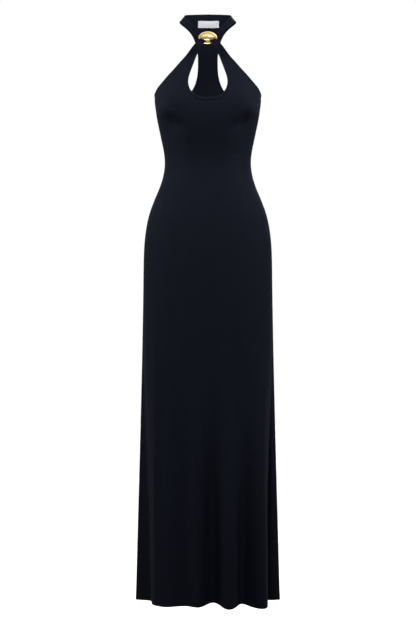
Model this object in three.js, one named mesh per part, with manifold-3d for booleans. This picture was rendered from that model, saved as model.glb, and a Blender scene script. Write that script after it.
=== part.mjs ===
// A halter maxi dress in fine jersey, filled out as when worn, with a cast ring at the throat.
// Millimetres, +Z up, front towards -Y. The origin is the middle of the neck loop at nape height.
import * as THREE from "three";
import { mergeVertices } from "three/addons/utils/BufferGeometryUtils.js";
import Module from "manifold-3d";

const wasm = await Module();
wasm.setup();

// Driving dimensions
const CLOTH = 1.6;
const STRAP_CLOTH = 2.4;
const SEAM_GAP = 0.3;
const NAPE_TOP = 28.4;
const NECK_SIDE_TOP = 17.5;
const KEYHOLE_BOTTOM = -207.8;
const UNDERARM = -197.6;
const WAIST = -369;
const HEM = -1502;
const BUST = { inner: 92, x: 92, z: -234, rise: 25, valley: 0.58, drop: 18 };
const BUST_REACH = { outer: 30, above: 64, below: 30, belowMiddle: 98 };
const WING_FOLD = 13;
const FOLD_SIDEWAYS = 0.35;
const FOLD_DIP = 0.13;
const RING = { z: -50.2, width: 48, height: 32.4, rim: 6.5, thick: 4, back: -65.3 };
const DOME = { width: 37, height: 20, rise: 8, back: -72.8 };
const COLLAR = { width: 36.6, height: 19.9, wall: 1.6, start: 25 };
const LABEL = { width: 55.8, height: 17.8, x: 1.9, z: 1.3, thick: 0.6 };
const BINDING = { width: 6, thick: 0.8, top: -84 };
const RING_SEAT = { lift: 11.6, from: -104, to: -66 };
const GATHER = { depth: 0.5, count: 3, from: -130, to: -72 };

// The form that the cloth lies on, at each height: half width, depth of the front and back from
// the side seams, how square each half is, and how far the side stands out of the front's folds.
const FORM = [
  { z: 30, width: 55.5, front: 48, back: 54, frontPower: 2.0, backPower: 2.2, wing: 0 },
  { z: 18, width: 59.6, front: 50, back: 53, frontPower: 2.0, backPower: 2.2, wing: 0 },
  { z: 0, width: 74, front: 55, back: 53, frontPower: 2.0, backPower: 2.2, wing: 0 },
  { z: -25, width: 92, front: 58, back: 57, frontPower: 2.1, backPower: 2.2, wing: 0 },
  { z: -50, width: 110, front: 60, back: 63, frontPower: 2.1, backPower: 2.2, wing: 0 },
  { z: -75, width: 124, front: 63, back: 71, frontPower: 2.1, backPower: 2.2, wing: 0 },
  { z: -100, width: 133, front: 68, back: 79, frontPower: 2.1, backPower: 2.2, wing: 0 },
  { z: -150, width: 140.5, front: 86, back: 90, frontPower: 2.2, backPower: 2.3, wing: 0 },
  { z: -198, width: 138.1, front: 100, back: 92, frontPower: 2.3, backPower: 2.3, wing: 0 },
  { z: -250, width: 132.3, front: 96, back: 88, frontPower: 2.3, backPower: 2.3, wing: 0 },
  { z: -300, width: 122.4, front: 88, back: 81, frontPower: 2.3, backPower: 2.3, wing: 0 },
  { z: -340, width: 114.3, front: 82, back: 76, frontPower: 2.3, backPower: 2.3, wing: 0 },
  { z: -370, width: 112, front: 80, back: 76, frontPower: 2.3, backPower: 2.3, wing: 0 },
  { z: -400, width: 115.8, front: 82, back: 80, frontPower: 2.3, backPower: 2.3, wing: 0 },
  { z: -430, width: 124.9, front: 86, back: 87, frontPower: 2.3, backPower: 2.3, wing: 0 },
  { z: -465, width: 139.5, front: 90, back: 97, frontPower: 2.3, backPower: 2.3, wing: 0 },
  { z: -500, width: 152, front: 94, back: 106, frontPower: 2.4, backPower: 2.4, wing: 0 },
  { z: -540, width: 160.7, front: 97, back: 112, frontPower: 2.4, backPower: 2.4, wing: 0 },
  { z: -593, width: 165.9, front: 100, back: 115, frontPower: 2.4, backPower: 2.4, wing: 0 },
  { z: -700, width: 167.8, front: 103, back: 115, frontPower: 2.5, backPower: 2.4, wing: 0 },
  { z: -853, width: 170.7, front: 107, back: 115, frontPower: 2.6, backPower: 2.4, wing: 4 },
  { z: -1009, width: 174.3, front: 111, back: 118, frontPower: 2.7, backPower: 2.4, wing: 13 },
  { z: -1165, width: 178.3, front: 115, back: 122, frontPower: 2.8, backPower: 2.4, wing: 22.5 },
  { z: -1321, width: 182.6, front: 119, back: 127, frontPower: 2.9, backPower: 2.4, wing: 32 },
  { z: -1502, width: 187.6, front: 122, back: 132, frontPower: 3.0, backPower: 2.4, wing: 40.4 },
];

// Folds of the skirt. A turn is a share of the quarter round from the centre line to a side seam,
// negative on the wearer's right. Each fold grows from its top to its full depth at the hem.
const FRONT_FOLDS = [
  { hemTurn: -0.665, topTurn: -0.69, top: -780, out: 8.5, spread: 0.093 },
  { hemTurn: -0.512, topTurn: -0.53, top: -700, out: 14, spread: 0.109 },
  { hemTurn: -0.289, topTurn: -0.32, top: -900, out: -4, spread: 0.06 },
  { hemTurn: -0.119, topTurn: -0.15, top: -820, out: 11, spread: 0.085 },
  { hemTurn: 0.083, topTurn: 0.03, top: -820, out: -42.5, spread: 0.118 },
  { hemTurn: 0.247, topTurn: 0.27, top: -820, out: 34, spread: 0.112 },
  { hemTurn: 0.432, topTurn: 0.46, top: -1000, out: -24, spread: 0.073 },
  { hemTurn: 0.62, topTurn: 0.67, top: -740, out: 41, spread: 0.119 },
];
const BACK_FOLDS = [
  { hemTurn: -0.62, topTurn: -0.6, top: -760, out: 24, spread: 0.11 },
  { hemTurn: -0.36, topTurn: -0.32, top: -900, out: -28, spread: 0.09 },
  { hemTurn: -0.12, topTurn: -0.1, top: -700, out: 22, spread: 0.1 },
  { hemTurn: 0.14, topTurn: 0.1, top: -820, out: -34, spread: 0.08 },
  { hemTurn: 0.38, topTurn: 0.34, top: -960, out: 26, spread: 0.09 },
  { hemTurn: 0.66, topTurn: 0.6, top: -700, out: -16, spread: 0.1 },
];

// Edges of the cut, each half the same. The front's halter arm narrows to the ring at the throat.
const KEYHOLE_EDGE = [
  { x: 5.5, z: -59 },
  { x: 12.2, z: -67.4 },
  { x: 21.5, z: -81 },
  { x: 29.8, z: -96.9 },
  { x: 37.6, z: -117.7 },
  { x: 45.2, z: -138.8 },
  { x: 49.6, z: -155 },
  { x: 50.3, z: -166 },
  { x: 48.6, z: -176.5 },
  { x: 43, z: -189.2 },
  { x: 32, z: -200 },
  { x: 17, z: -206.1 },
  { x: 0, z: KEYHOLE_BOTTOM },
];
const ARMHOLE_EDGE = [
  { x: 17.4, z: -52 },
  { x: 23.4, z: -55 },
  { x: 32.3, z: -66 },
  { x: 44.7, z: -81.5 },
  { x: 67.5, z: -107.2 },
  { x: 89.2, z: -133 },
  { x: 111.2, z: -158.5 },
  { x: 120.2, z: -168.1 },
  { x: 128.6, z: -176.4 },
  { x: 134.7, z: -185.3 },
  { x: 138.6, z: UNDERARM },
];
const YOKE_EDGE = [
  { x: 74, z: -0.5 },
  { x: 68, z: -4.5 },
  { x: 58.5, z: -10.5 },
  { x: 50.3, z: -17.3 },
  { x: 43.5, z: -25.3 },
  { x: 36.6, z: -37 },
  { x: 32.5, z: -48 },
];
const RACER_EDGE = [
  { x: 32.5, z: -48 },
  { x: 26.9, z: -75.5 },
  { x: 26.2, z: -103.8 },
  { x: 28.2, z: -130 },
  { x: 33.6, z: -151 },
  { x: 41.2, z: -166.8 },
];
const BACK_ARMHOLE_EDGE = [
  { x: 41.2, z: -166.8 },
  { x: 60, z: -183 },
  { x: 88, z: -196 },
  { x: 118, z: -201 },
  { x: 138.6, z: UNDERARM },
];

// The gathered neck strap: it turns under the ring's dome, passes behind the rim and lies round
// the neck to its side. Its two long edges at each step, and how far it stands off the form.
const NECK_STRAP = [
  { lowX: 15.2, lowZ: -48.7, highX: 4.1, highZ: -57.2, lift: 11 },
  { lowX: 16.3, lowZ: -48.8, highX: 3.4, highZ: -51.5, lift: 8.2 },
  { lowX: 17.3, lowZ: -49.2, highX: 6.8, highZ: -45.2, lift: 4.9 },
  { lowX: 21.3, lowZ: -50.8, highX: 12.6, highZ: -43, lift: 4.4 },
  { lowX: 26.6, lowZ: -48.4, highX: 18.2, highZ: -41.2, lift: 3.4 },
  { lowX: 34.2, lowZ: -39.6, highX: 25.3, highZ: -32.2, lift: 1.6 },
  { lowX: 43, lowZ: -29.9, highX: 33.5, highZ: -22, lift: 0.8 },
  { lowX: 55.8, lowZ: -18.2, highX: 44.2, highZ: -8.5, lift: 0.4 },
  { lowX: 66.4, lowZ: -8, highX: 53.3, highZ: 2.9, lift: 0.2 },
  { lowX: 71.9, lowZ: -2.2, highX: 58.6, highZ: 10.5, lift: 0 },
  { lowX: 74.2, lowZ: 0, highX: 62, highZ: NECK_SIDE_TOP, lift: 0 },
];

const CLOTH_FINISH = { color: 0x14171f, roughness: 0.85, metalness: 0 };
const GOLD_FINISH = { color: 0xe0bf78, roughness: 0.18, metalness: 1 };
const LABEL_FINISH = { color: 0xe8e9ee, roughness: 0.5, metalness: 0 };

const FRONT = { depth: "front", power: "frontPower", way: -1, folds: FRONT_FOLDS };
const BACK = { depth: "back", power: "backPower", way: 1, folds: BACK_FOLDS };

const clamp01 = (value) => Math.min(1, Math.max(0, value));
const smooth = (share) => share * share * (3 - 2 * share);
const mix = (from, to, share) => from + (to - from) * share;

// One column of a table at a height between its rows, as a smooth curve through them.
function column(table, name, z) {
  const last = table.length - 2;
  let row = 0;
  while (row < last && z < table[row + 1].z) row += 1;
  const slope = (index) => {
    const above = table[Math.max(0, index - 1)];
    const below = table[Math.min(table.length - 1, index + 1)];
    return (below[name] - above[name]) / (below.z - above.z);
  };
  const upper = table[row];
  const lower = table[row + 1];
  const span = lower.z - upper.z;
  const share = clamp01((z - upper.z) / span);
  const rest = 1 - share;
  const ends = upper[name] * rest * rest * (1 + 2 * share) + lower[name] * share * share * (3 - 2 * share);
  return ends + span * share * rest * (slope(row) * rest - slope(row + 1) * share);
}

// How far the bust and the folds push the cloth out of its form.
function bustRise(x, turn, z) {
  const between = 1 - smooth(clamp01((x / BUST.inner) ** 2));
  const peak = BUST.z - BUST.drop * between;
  const tall = z > peak ? BUST_REACH.above : mix(BUST_REACH.below, BUST_REACH.belowMiddle, between);
  const aside = Math.max(0, Math.abs(x) - BUST.x) / BUST_REACH.outer;
  const bell = Math.exp(-(aside ** 2) - ((z - peak) / tall) ** 2);
  return BUST.rise * (1 - BUST.valley * between) * (1 - turn ** 4) * bell;
}

function foldRise(folds, turn, z) {
  let rise = 0;
  for (const fold of folds) {
    const grown = clamp01((fold.top - z) / (fold.top - HEM));
    const middle = mix(fold.topTurn, fold.hemTurn, grown);
    rise += fold.out * smooth(grown) * Math.exp(-(((turn - middle) / fold.spread) ** 2));
  }
  return rise;
}

// The point of the cloth's outer face at a turn and a height, moved out by lift.
function clothPoint(face, turn, z, lift = 0) {
  const wing = face === FRONT ? column(FORM, "wing", z) : 0;
  const half = column(FORM, "width", z) - wing;
  const depth = column(FORM, face.depth, z);
  const power = column(FORM, face.power, z);
  const angle = (turn * Math.PI) / 2;
  const across = Math.abs(Math.sin(angle));
  const ahead = Math.abs(Math.cos(angle));
  const reach = ((across / half) ** power + (ahead / depth) ** power) ** (-1 / power);
  const side = Math.sign(turn);
  const x = side * reach * across;
  const y = face.way * reach * ahead;
  const normal = new THREE.Vector2(
    (side * (Math.abs(x) / half) ** (power - 1)) / half,
    (face.way * (Math.abs(y) / depth) ** (power - 1)) / depth,
  ).normalize();
  const pushed = new THREE.Vector2(normal.x * FOLD_SIDEWAYS, normal.y).normalize();
  const fold = foldRise(face.folds, turn, z);
  const out = lift + (face === FRONT ? bustRise(x, turn, z) : 0);
  const point = new THREE.Vector3(
    x + normal.x * out + pushed.x * fold,
    y + normal.y * out + pushed.y * fold,
    z - FOLD_DIP * fold,
  );
  point.x += side * wing * Math.exp(-((point.y / WING_FOLD) ** 2));
  point.y += (face.way * SEAM_GAP) / 2;
  return point;
}

// How far from the middle the form is at a turn, and the turn at a distance from the middle.
function formAcross(face, turn, z) {
  const power = column(FORM, face.power, z);
  const angle = (turn * Math.PI) / 2;
  const across = Math.sin(angle) / column(FORM, "width", z);
  const ahead = Math.cos(angle) / column(FORM, face.depth, z);
  return Math.sin(angle) * (across ** power + ahead ** power) ** (-1 / power);
}

function turnAt(face, x, z) {
  const half = column(FORM, "width", z);
  if (x >= half) return 1;
  const power = column(FORM, face.power, z);
  const y = column(FORM, face.depth, z) * (1 - (x / half) ** power) ** (1 / power);
  return Math.atan2(x, y) / (Math.PI / 2);
}

// An edge as evenly spaced places, each a turn and a height.
const TURN_MM = 200;
function edgePlaces(face, table, count) {
  const places = table.map(({ x, z }) => new THREE.Vector3(turnAt(face, x, z) * TURN_MM, z, 0));
  const curve = new THREE.CatmullRomCurve3(places, false, "centripetal");
  const turnOf = (place) => Math.max(0, place.x / TURN_MM);
  return curve.getSpacedPoints(count).map((place) => ({ turn: turnOf(place), z: place.y }));
}

function straightPlaces(turn, top, bottom, count) {
  return Array.from({ length: count + 1 }, (_, row) => ({ turn, z: mix(top, bottom, row / count) }));
}

// The rows of half a panel. Each leg gives as many places on the inner edge as on the outer one,
// and bend says how a row sags between them, at the leg's first and last row.
function panelRows(legs) {
  const rows = [];
  legs.forEach(({ inner, outer, bend }, index) => {
    const last = inner.length - 1;
    for (let row = index === 0 ? 0 : 1; row <= last; row += 1) {
      rows.push({ inner: inner[row], outer: outer[row], bend: mix(bend[0], bend[1], row / last) });
    }
  });
  return rows;
}

function rowPlace({ inner, outer, bend }, share) {
  const drop = share + bend * share * (1 - share);
  return { turn: mix(inner.turn, outer.turn, share), z: mix(inner.z, outer.z, drop) };
}

// A skin of triangles through a grid of points, its faces turned out.
function skinOf(grid, turnedOver) {
  const triangles = [];
  for (let row = 0; row + 1 < grid.length; row += 1) {
    for (let step = 0; step + 1 < grid[row].length; step += 1) {
      const [a, b] = [grid[row][step], grid[row][step + 1]];
      const [c, d] = [grid[row + 1][step], grid[row + 1][step + 1]];
      triangles.push(...(turnedOver ? [a, b, c, b, d, c] : [a, c, b, b, c, d]));
    }
  }
  return triangles;
}

// A closed wall between two distances from a skin, along the skin's own normals. Along the side
// seams the normals are square to the seam, so that neighbouring walls meet face to face.
function wallOf(triangles, outer, inner) {
  const skin = mergeVertices(new THREE.BufferGeometry().setFromPoints(triangles), 1e-3);
  skin.computeVertexNormals();
  const { position, normal } = skin.attributes;
  const count = position.count;
  const points = [];
  for (const distance of [outer, inner]) {
    for (let index = 0; index < count; index += 1) {
      const out = new THREE.Vector3().fromBufferAttribute(normal, index);
      const point = new THREE.Vector3().fromBufferAttribute(position, index);
      if (Math.abs(point.y) < SEAM_GAP) out.setY(0).normalize();
      points.push(point.addScaledVector(out, distance));
    }
  }
  const faces = [];
  const edges = new Set();
  const corners = skin.index.array;
  for (let first = 0; first < corners.length; first += 3) {
    const [a, b, c] = corners.slice(first, first + 3);
    faces.push(a, b, c, a + count, c + count, b + count);
    for (const [from, to] of [[a, b], [b, c], [c, a]]) edges.add(`${from} ${to}`);
  }
  for (const edge of edges) {
    const [from, to] = edge.split(" ").map(Number);
    if (!edges.has(`${to} ${from}`)) {
      faces.push(to, from, from + count, to, from + count, to + count);
    }
  }
  const wall = new THREE.BufferGeometry().setFromPoints(points);
  wall.setIndex(faces);
  wall.computeVertexNormals();
  return wall;
}

// Both halves of a panel as one skin, with the same rows on each side of the centre line.
function panelSkin(face, rows, columns, liftAt = () => 0) {
  const skins = [];
  for (const side of [1, -1]) {
    const grid = rows.map((row) => {
      const steps = Array.from({ length: columns + 1 }, (_, step) => step / columns);
      return steps.map((share) => {
        const { turn, z } = rowPlace(row, share);
        return clothPoint(face, side * turn, z, liftAt(share, z));
      });
    });
    skins.push(...skinOf(grid, side * face.way > 0));
  }
  return skins;
}

// The halter arms rise over the ring's lower rim, in small gathers.
function armLift(share, z) {
  const seat = smooth(clamp01((z - RING_SEAT.from) / (RING_SEAT.to - RING_SEAT.from)));
  const gathered = smooth(clamp01((z - GATHER.from) / (GATHER.to - GATHER.from)));
  const ridge = 0.5 - 0.5 * Math.cos(2 * Math.PI * GATHER.count * share);
  return RING_SEAT.lift * seat - GATHER.depth * gathered * ridge;
}

function frontLegs() {
  const arm = 20;
  const bodice = 11;
  const skirt = 20;
  const side = -242;
  const armhole = [...ARMHOLE_EDGE, { x: column(FORM, "width", side), z: side }];
  return [
    { inner: edgePlaces(FRONT, KEYHOLE_EDGE, arm), outer: edgePlaces(FRONT, armhole, arm), bend: [0, 0.9] },
    {
      inner: straightPlaces(0, KEYHOLE_BOTTOM, WAIST, bodice),
      outer: straightPlaces(1, side, WAIST, bodice),
      bend: [0.9, 0],
    },
    { inner: straightPlaces(0, WAIST, HEM, skirt), outer: straightPlaces(1, WAIST, HEM, skirt), bend: [0, 0] },
  ];
}

function backLegs() {
  const [band, yoke, racer, armhole, bodice, skirt] = [3, 6, 5, 6, 6, 17];
  const centre = { band: NAPE_TOP, yoke: 8, racer: -50, armhole: -168, bodice: -238 };
  return [
    {
      inner: straightPlaces(0, centre.band, centre.yoke, band),
      outer: straightPlaces(1, NECK_SIDE_TOP, YOKE_EDGE[0].z, band),
      bend: [-0.9, -0.9],
    },
    {
      inner: straightPlaces(0, centre.yoke, centre.racer, yoke),
      outer: edgePlaces(BACK, YOKE_EDGE, yoke),
      bend: [-0.9, 0],
    },
    {
      inner: straightPlaces(0, centre.racer, centre.armhole, racer),
      outer: edgePlaces(BACK, RACER_EDGE, racer),
      bend: [0, 0],
    },
    {
      inner: straightPlaces(0, centre.armhole, centre.bodice, armhole),
      outer: edgePlaces(BACK, BACK_ARMHOLE_EDGE, armhole),
      bend: [0, 0],
    },
    {
      inner: straightPlaces(0, centre.bodice, WAIST, bodice),
      outer: straightPlaces(1, UNDERARM, WAIST, bodice),
      bend: [0, 0],
    },
    { inner: straightPlaces(0, WAIST, HEM, skirt), outer: straightPlaces(1, WAIST, HEM, skirt), bend: [0, 0] },
  ];
}

function frontPanel() {
  const columns = 19;
  return wallOf(panelSkin(FRONT, panelRows(frontLegs()), columns, armLift), 0, -CLOTH);
}

function backPanel() {
  const columns = 13;
  return wallOf(panelSkin(BACK, panelRows(backLegs()), columns), 0, -CLOTH);
}

// The band bound over the keyhole's edge lies on the front's outer face, from arm to arm.
function keyholeBinding() {
  const columns = 2;
  const places = frontLegs()[0].inner.filter(({ z }) => z < BINDING.top);
  const edge = places.map(({ turn, z }) => new THREE.Vector2(formAcross(FRONT, turn, z), z));
  const last = edge.length - 1;
  const skins = [];
  for (const side of [1, -1]) {
    const grid = edge.map((place, row) => {
      const way = edge[Math.min(last, row + 1)].clone().sub(edge[Math.max(0, row - 1)]).normalize();
      if (row === last) way.set(-1, 0);
      return Array.from({ length: columns + 1 }, (_, index) => {
        const reach = (BINDING.width * index) / columns;
        const [x, z] = [place.x - way.y * reach, place.y + way.x * reach];
        return clothPoint(FRONT, side * turnAt(FRONT, x, z), z, armLift(0, z));
      });
    });
    skins.push(...skinOf(grid, side * FRONT.way > 0));
  }
  return wallOf(skins, SEAM_GAP + BINDING.thick, SEAM_GAP);
}

// A neck strap in fine lengthwise gathers.
function neckStrap(side) {
  const steps = 20;
  const columns = 9;
  const ridges = 3;
  const ridgeDepth = 0.6;
  const edgeCurve = (x, z) => {
    const places = NECK_STRAP.map((row) => {
      const turn = turnAt(FRONT, row[x], row[z]);
      return new THREE.Vector3(turn * TURN_MM, row[z], row.lift);
    });
    return new THREE.CatmullRomCurve3(places, false, "centripetal");
  };
  const low = edgeCurve("lowX", "lowZ");
  const high = edgeCurve("highX", "highZ");
  const grid = Array.from({ length: steps + 1 }, (_, step) => {
    const [from, to] = [low.getPoint(step / steps), high.getPoint(step / steps)];
    return Array.from({ length: columns + 1 }, (_, index) => {
      const share = index / columns;
      const place = from.clone().lerp(to, share);
      const groove = ridgeDepth * (0.5 - 0.5 * Math.cos(2 * Math.PI * ridges * share));
      return clothPoint(FRONT, (side * place.x) / TURN_MM, place.y, place.z - groove);
    });
  });
  return wallOf(skinOf(grid, side < 0), 0, -STRAP_CLOTH);
}

// The woven label lies on the inside of the back neck band.
function neckLabel() {
  const [across, up] = [8, 3];
  const grid = Array.from({ length: up + 1 }, (_, row) => {
    const z = LABEL.z + LABEL.height * (0.5 - row / up);
    return Array.from({ length: across + 1 }, (_, step) => {
      const x = LABEL.x + LABEL.width * (step / across - 0.5);
      return clothPoint(BACK, Math.sign(x) * turnAt(BACK, Math.abs(x), z), z);
    });
  });
  const front = -CLOTH - SEAM_GAP;
  return wallOf(skinOf(grid, true), front, front - LABEL.thick);
}

function solidOf(geometry) {
  const bare = geometry.index ? geometry.toNonIndexed() : geometry.clone();
  bare.deleteAttribute("normal");
  bare.deleteAttribute("uv");
  const merged = mergeVertices(bare, 1e-4);
  return new wasm.Manifold(
    new wasm.Mesh({
      numProp: 3,
      vertProperties: merged.attributes.position.array,
      triVerts: new Uint32Array(merged.index.array),
    }),
  );
}

function geometryOf(solid) {
  const mesh = solid.getMesh();
  const geometry = new THREE.BufferGeometry();
  geometry.setAttribute("position", new THREE.BufferAttribute(mesh.vertProperties, 3));
  geometry.setIndex(new THREE.BufferAttribute(mesh.triVerts, 1));
  geometry.computeVertexNormals();
  return geometry;
}

// The oval rim: a rounded section carried round an ellipse.
function ringRim() {
  const [around, sides] = [44, 10];
  const middle = RING.back - RING.thick / 2;
  const point = (step, corner) => {
    const angle = (2 * Math.PI * step) / around;
    const section = (2 * Math.PI * corner) / sides;
    const inset = (RING.rim / 2) * (1 - Math.cos(section));
    return new THREE.Vector3(
      (RING.width / 2 - inset) * Math.cos(angle),
      middle + (RING.thick / 2) * Math.sin(section),
      RING.z + (RING.height / 2 - inset) * Math.sin(angle),
    );
  };
  const grid = Array.from({ length: around + 1 }, (_, step) =>
    Array.from({ length: sides + 1 }, (_, corner) => point(step % around, corner % sides)),
  );
  return new THREE.BufferGeometry().setFromPoints(skinOf(grid, true));
}

// The collar is a band of an ellipse, open below, that joins the rim to the dome's edge.
function ringCollar() {
  const steps = 20;
  const start = THREE.MathUtils.degToRad(COLLAR.start);
  const arc = (inset) =>
    Array.from({ length: steps + 1 }, (_, step) => {
      const angle = start + (Math.PI - 2 * start) * (step / steps);
      const [across, up] = [COLLAR.width / 2 - inset, COLLAR.height / 2 - inset];
      return new THREE.Vector2(across * Math.cos(angle), up * Math.sin(angle));
    });
  const outline = new THREE.Shape([...arc(0), ...arc(COLLAR.wall).reverse()]);
  const back = RING.back - RING.thick / 2;
  const band = new THREE.ExtrudeGeometry(outline, { depth: back - DOME.back + 1, bevelEnabled: false });
  band.rotateX(Math.PI / 2);
  return band.translate(0, back, RING.z);
}

// One casting: the rim, the dome over its middle and the collar that joins them.
function buckle() {
  const [rings, around] = [7, 36];
  const profile = Array.from({ length: rings + 1 }, (_, step) => {
    const angle = (step / rings) * (Math.PI / 2);
    return new THREE.Vector2(Math.cos(angle), Math.sin(angle));
  });
  profile[rings].x = 0;
  const dome = new THREE.LatheGeometry([new THREE.Vector2(0, 0), ...profile], around);
  dome.scale(DOME.width / 2, DOME.rise, DOME.height / 2);
  dome.rotateX(Math.PI);
  dome.translate(0, DOME.back, RING.z);
  return geometryOf(solidOf(ringRim()).add(solidOf(ringCollar())).add(solidOf(dome)));
}

const group = new THREE.Group();
function addPiece(name, geometry, finish) {
  const piece = new THREE.Mesh(geometry, new THREE.MeshStandardMaterial(finish));
  piece.name = name;
  group.add(piece);
}

addPiece("front", frontPanel(), CLOTH_FINISH);
addPiece("back", backPanel(), CLOTH_FINISH);
addPiece("keyhole_binding", keyholeBinding(), CLOTH_FINISH);
addPiece("neck_strap_left", neckStrap(1), CLOTH_FINISH);
addPiece("neck_strap_right", neckStrap(-1), CLOTH_FINISH);
addPiece("buckle", buckle(), GOLD_FINISH);
addPiece("label", neckLabel(), LABEL_FINISH);

export default group;
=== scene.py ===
"""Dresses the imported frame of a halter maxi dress: its cloth, sewing, cast ring, label and studio.

Shapes are worked out in millimetres, in the frame's own axes, and put into the meshes in metres.
"""

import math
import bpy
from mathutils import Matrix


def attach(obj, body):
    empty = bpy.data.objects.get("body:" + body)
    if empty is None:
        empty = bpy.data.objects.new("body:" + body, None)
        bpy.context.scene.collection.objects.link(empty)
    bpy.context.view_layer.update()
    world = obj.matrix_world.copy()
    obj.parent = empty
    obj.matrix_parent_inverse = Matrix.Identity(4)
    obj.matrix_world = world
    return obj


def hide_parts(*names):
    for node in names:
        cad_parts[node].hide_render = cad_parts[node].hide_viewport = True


bl_info = {
    "name": "Halter maxi dress",
    "version": (1, 0, 0),
    "blender": (4, 5, 0),
    "location": "3D View > Sidebar > Dress",
    "description": "Makes a halter maxi dress: its cloth, sewing, cast ring, label and studio",
    "category": "Add Mesh",
}

from collections import namedtuple

import bpy
import numpy as np
from bpy.props import FloatProperty, FloatVectorProperty, PointerProperty
from bpy.types import Operator, Panel, PropertyGroup
from mathutils import Vector

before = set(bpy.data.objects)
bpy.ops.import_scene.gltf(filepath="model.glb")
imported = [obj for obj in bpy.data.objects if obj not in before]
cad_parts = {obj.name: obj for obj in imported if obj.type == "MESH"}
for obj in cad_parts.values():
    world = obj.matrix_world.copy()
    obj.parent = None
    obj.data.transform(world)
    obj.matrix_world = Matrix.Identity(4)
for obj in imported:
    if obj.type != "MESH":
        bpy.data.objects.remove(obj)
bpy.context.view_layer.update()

MM = 0.001

# A turn is a share of the quarter round from the centre line to a side seam. This many millimetres to
# a quarter lay it flat for the seams and creases, which run in turn and height.
TURN_MM = 200

# Heights and seams of the cut
SEAM_GAP = 0.3
NAPE_TOP = 28.4
NECK_SIDE_TOP = 17.5
UNDERARM = -197.6
SIDE_SEAM_TOP = -242
KEYHOLE_BOTTOM = -207.8
WAIST = -369
HEM = -1502

# Where the back's centre line passes from nape band to yoke, racer strap, shoulders and bodice
BAND_BOTTOM, RACER_TOP, RACER_BOTTOM, SHOULDERS_BOTTOM = 8, -50, -168, -238

# The form that the cloth lies on: half width, depth of front and back, how square each is, and how
# far the side stands out of the front's folds.
FORM_COLUMNS = ("z", "width", "front", "back", "front_power", "back_power", "wing")
FORM = np.array([
    (30, 55.5, 48, 54, 2.0, 2.2, 0),
    (18, 59.6, 50, 53, 2.0, 2.2, 0),
    (0, 74, 55, 53, 2.0, 2.2, 0),
    (-25, 92, 58, 57, 2.1, 2.2, 0),
    (-50, 110, 60, 63, 2.1, 2.2, 0),
    (-75, 124, 63, 71, 2.1, 2.2, 0),
    (-100, 133, 68, 79, 2.1, 2.2, 0),
    (-150, 140.5, 86, 90, 2.2, 2.3, 0),
    (-198, 138.1, 100, 92, 2.3, 2.3, 0),
    (-250, 132.3, 96, 88, 2.3, 2.3, 0),
    (-300, 122.4, 88, 81, 2.3, 2.3, 0),
    (-340, 114.3, 82, 76, 2.3, 2.3, 0),
    (-370, 112, 80, 76, 2.3, 2.3, 0),
    (-400, 115.8, 82, 80, 2.3, 2.3, 0),
    (-430, 124.9, 86, 87, 2.3, 2.3, 0),
    (-465, 139.5, 90, 97, 2.3, 2.3, 0),
    (-500, 152, 94, 106, 2.4, 2.4, 0),
    (-540, 160.7, 97, 112, 2.4, 2.4, 0),
    (-593, 165.9, 100, 115, 2.4, 2.4, 0),
    (-700, 167.8, 103, 115, 2.5, 2.4, 0),
    (-853, 170.7, 107, 115, 2.6, 2.4, 4),
    (-1009, 174.3, 111, 118, 2.7, 2.4, 13),
    (-1165, 178.3, 115, 122, 2.8, 2.4, 22.5),
    (-1321, 182.6, 119, 127, 2.9, 2.4, 32),
    (-1502, 187.6, 122, 132, 3.0, 2.4, 40.4),
])

# The bust: where each side peaks and how far it stands out, the share of that which the valley
# between them loses and how much lower the valley peaks, and the reach aside, above and below.
BUST_INNER, BUST_X, BUST_Z, BUST_RISE = 92, 92, -234, 25
BUST_VALLEY, BUST_DROP = 0.58, 18
BUST_OUTER, BUST_ABOVE, BUST_BELOW, BUST_BELOW_MIDDLE = 30, 64, 30, 98

# How thick the side's wing is, how much of a fold goes sideways and how far its edge drops
WING_FOLD, FOLD_SIDEWAYS, FOLD_DIP = 13, 0.35, 0.13

# Where the cloth turns in behind the front's last fold on the wearer's left
GROOVE_TURN, GROOVE_SPREAD, GROOVE_DEPTH, GROOVE_TOP, GROOVE_FULL = 0.922, 0.016, 14, -930, -1180

# The skirt's folds: turn at the hem and at the fold's top, height of its top, how far it stands out
# at the hem (a hollow is negative) and its half width in turn.
FRONT_FOLDS = (
    (-0.665, -0.69, -780, 8.5, 0.093),
    (-0.512, -0.53, -700, 14, 0.109),
    (-0.289, -0.32, -900, -4, 0.06),
    (-0.119, -0.15, -820, 11, 0.085),
    (0.083, 0.03, -820, -42.5, 0.118),
    (0.247, 0.27, -820, 34, 0.112),
    (0.432, 0.46, -1000, -24, 0.073),
    (0.62, 0.67, -740, 41, 0.119),
)
BACK_FOLDS = (
    (-0.62, -0.6, -760, 24, 0.11),
    (-0.36, -0.32, -900, -28, 0.09),
    (-0.12, -0.1, -700, 22, 0.1),
    (0.14, 0.1, -820, -34, 0.08),
    (0.38, 0.34, -960, 26, 0.09),
    (0.66, 0.6, -700, -16, 0.1),
)

# A face of the form: its columns of depth and squareness, the way it faces along Y and its folds
Face = namedtuple("Face", "depth power way folds")
FRONT = Face("front", "front_power", -1, FRONT_FOLDS)
BACK = Face("back", "back_power", 1, BACK_FOLDS)

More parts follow.
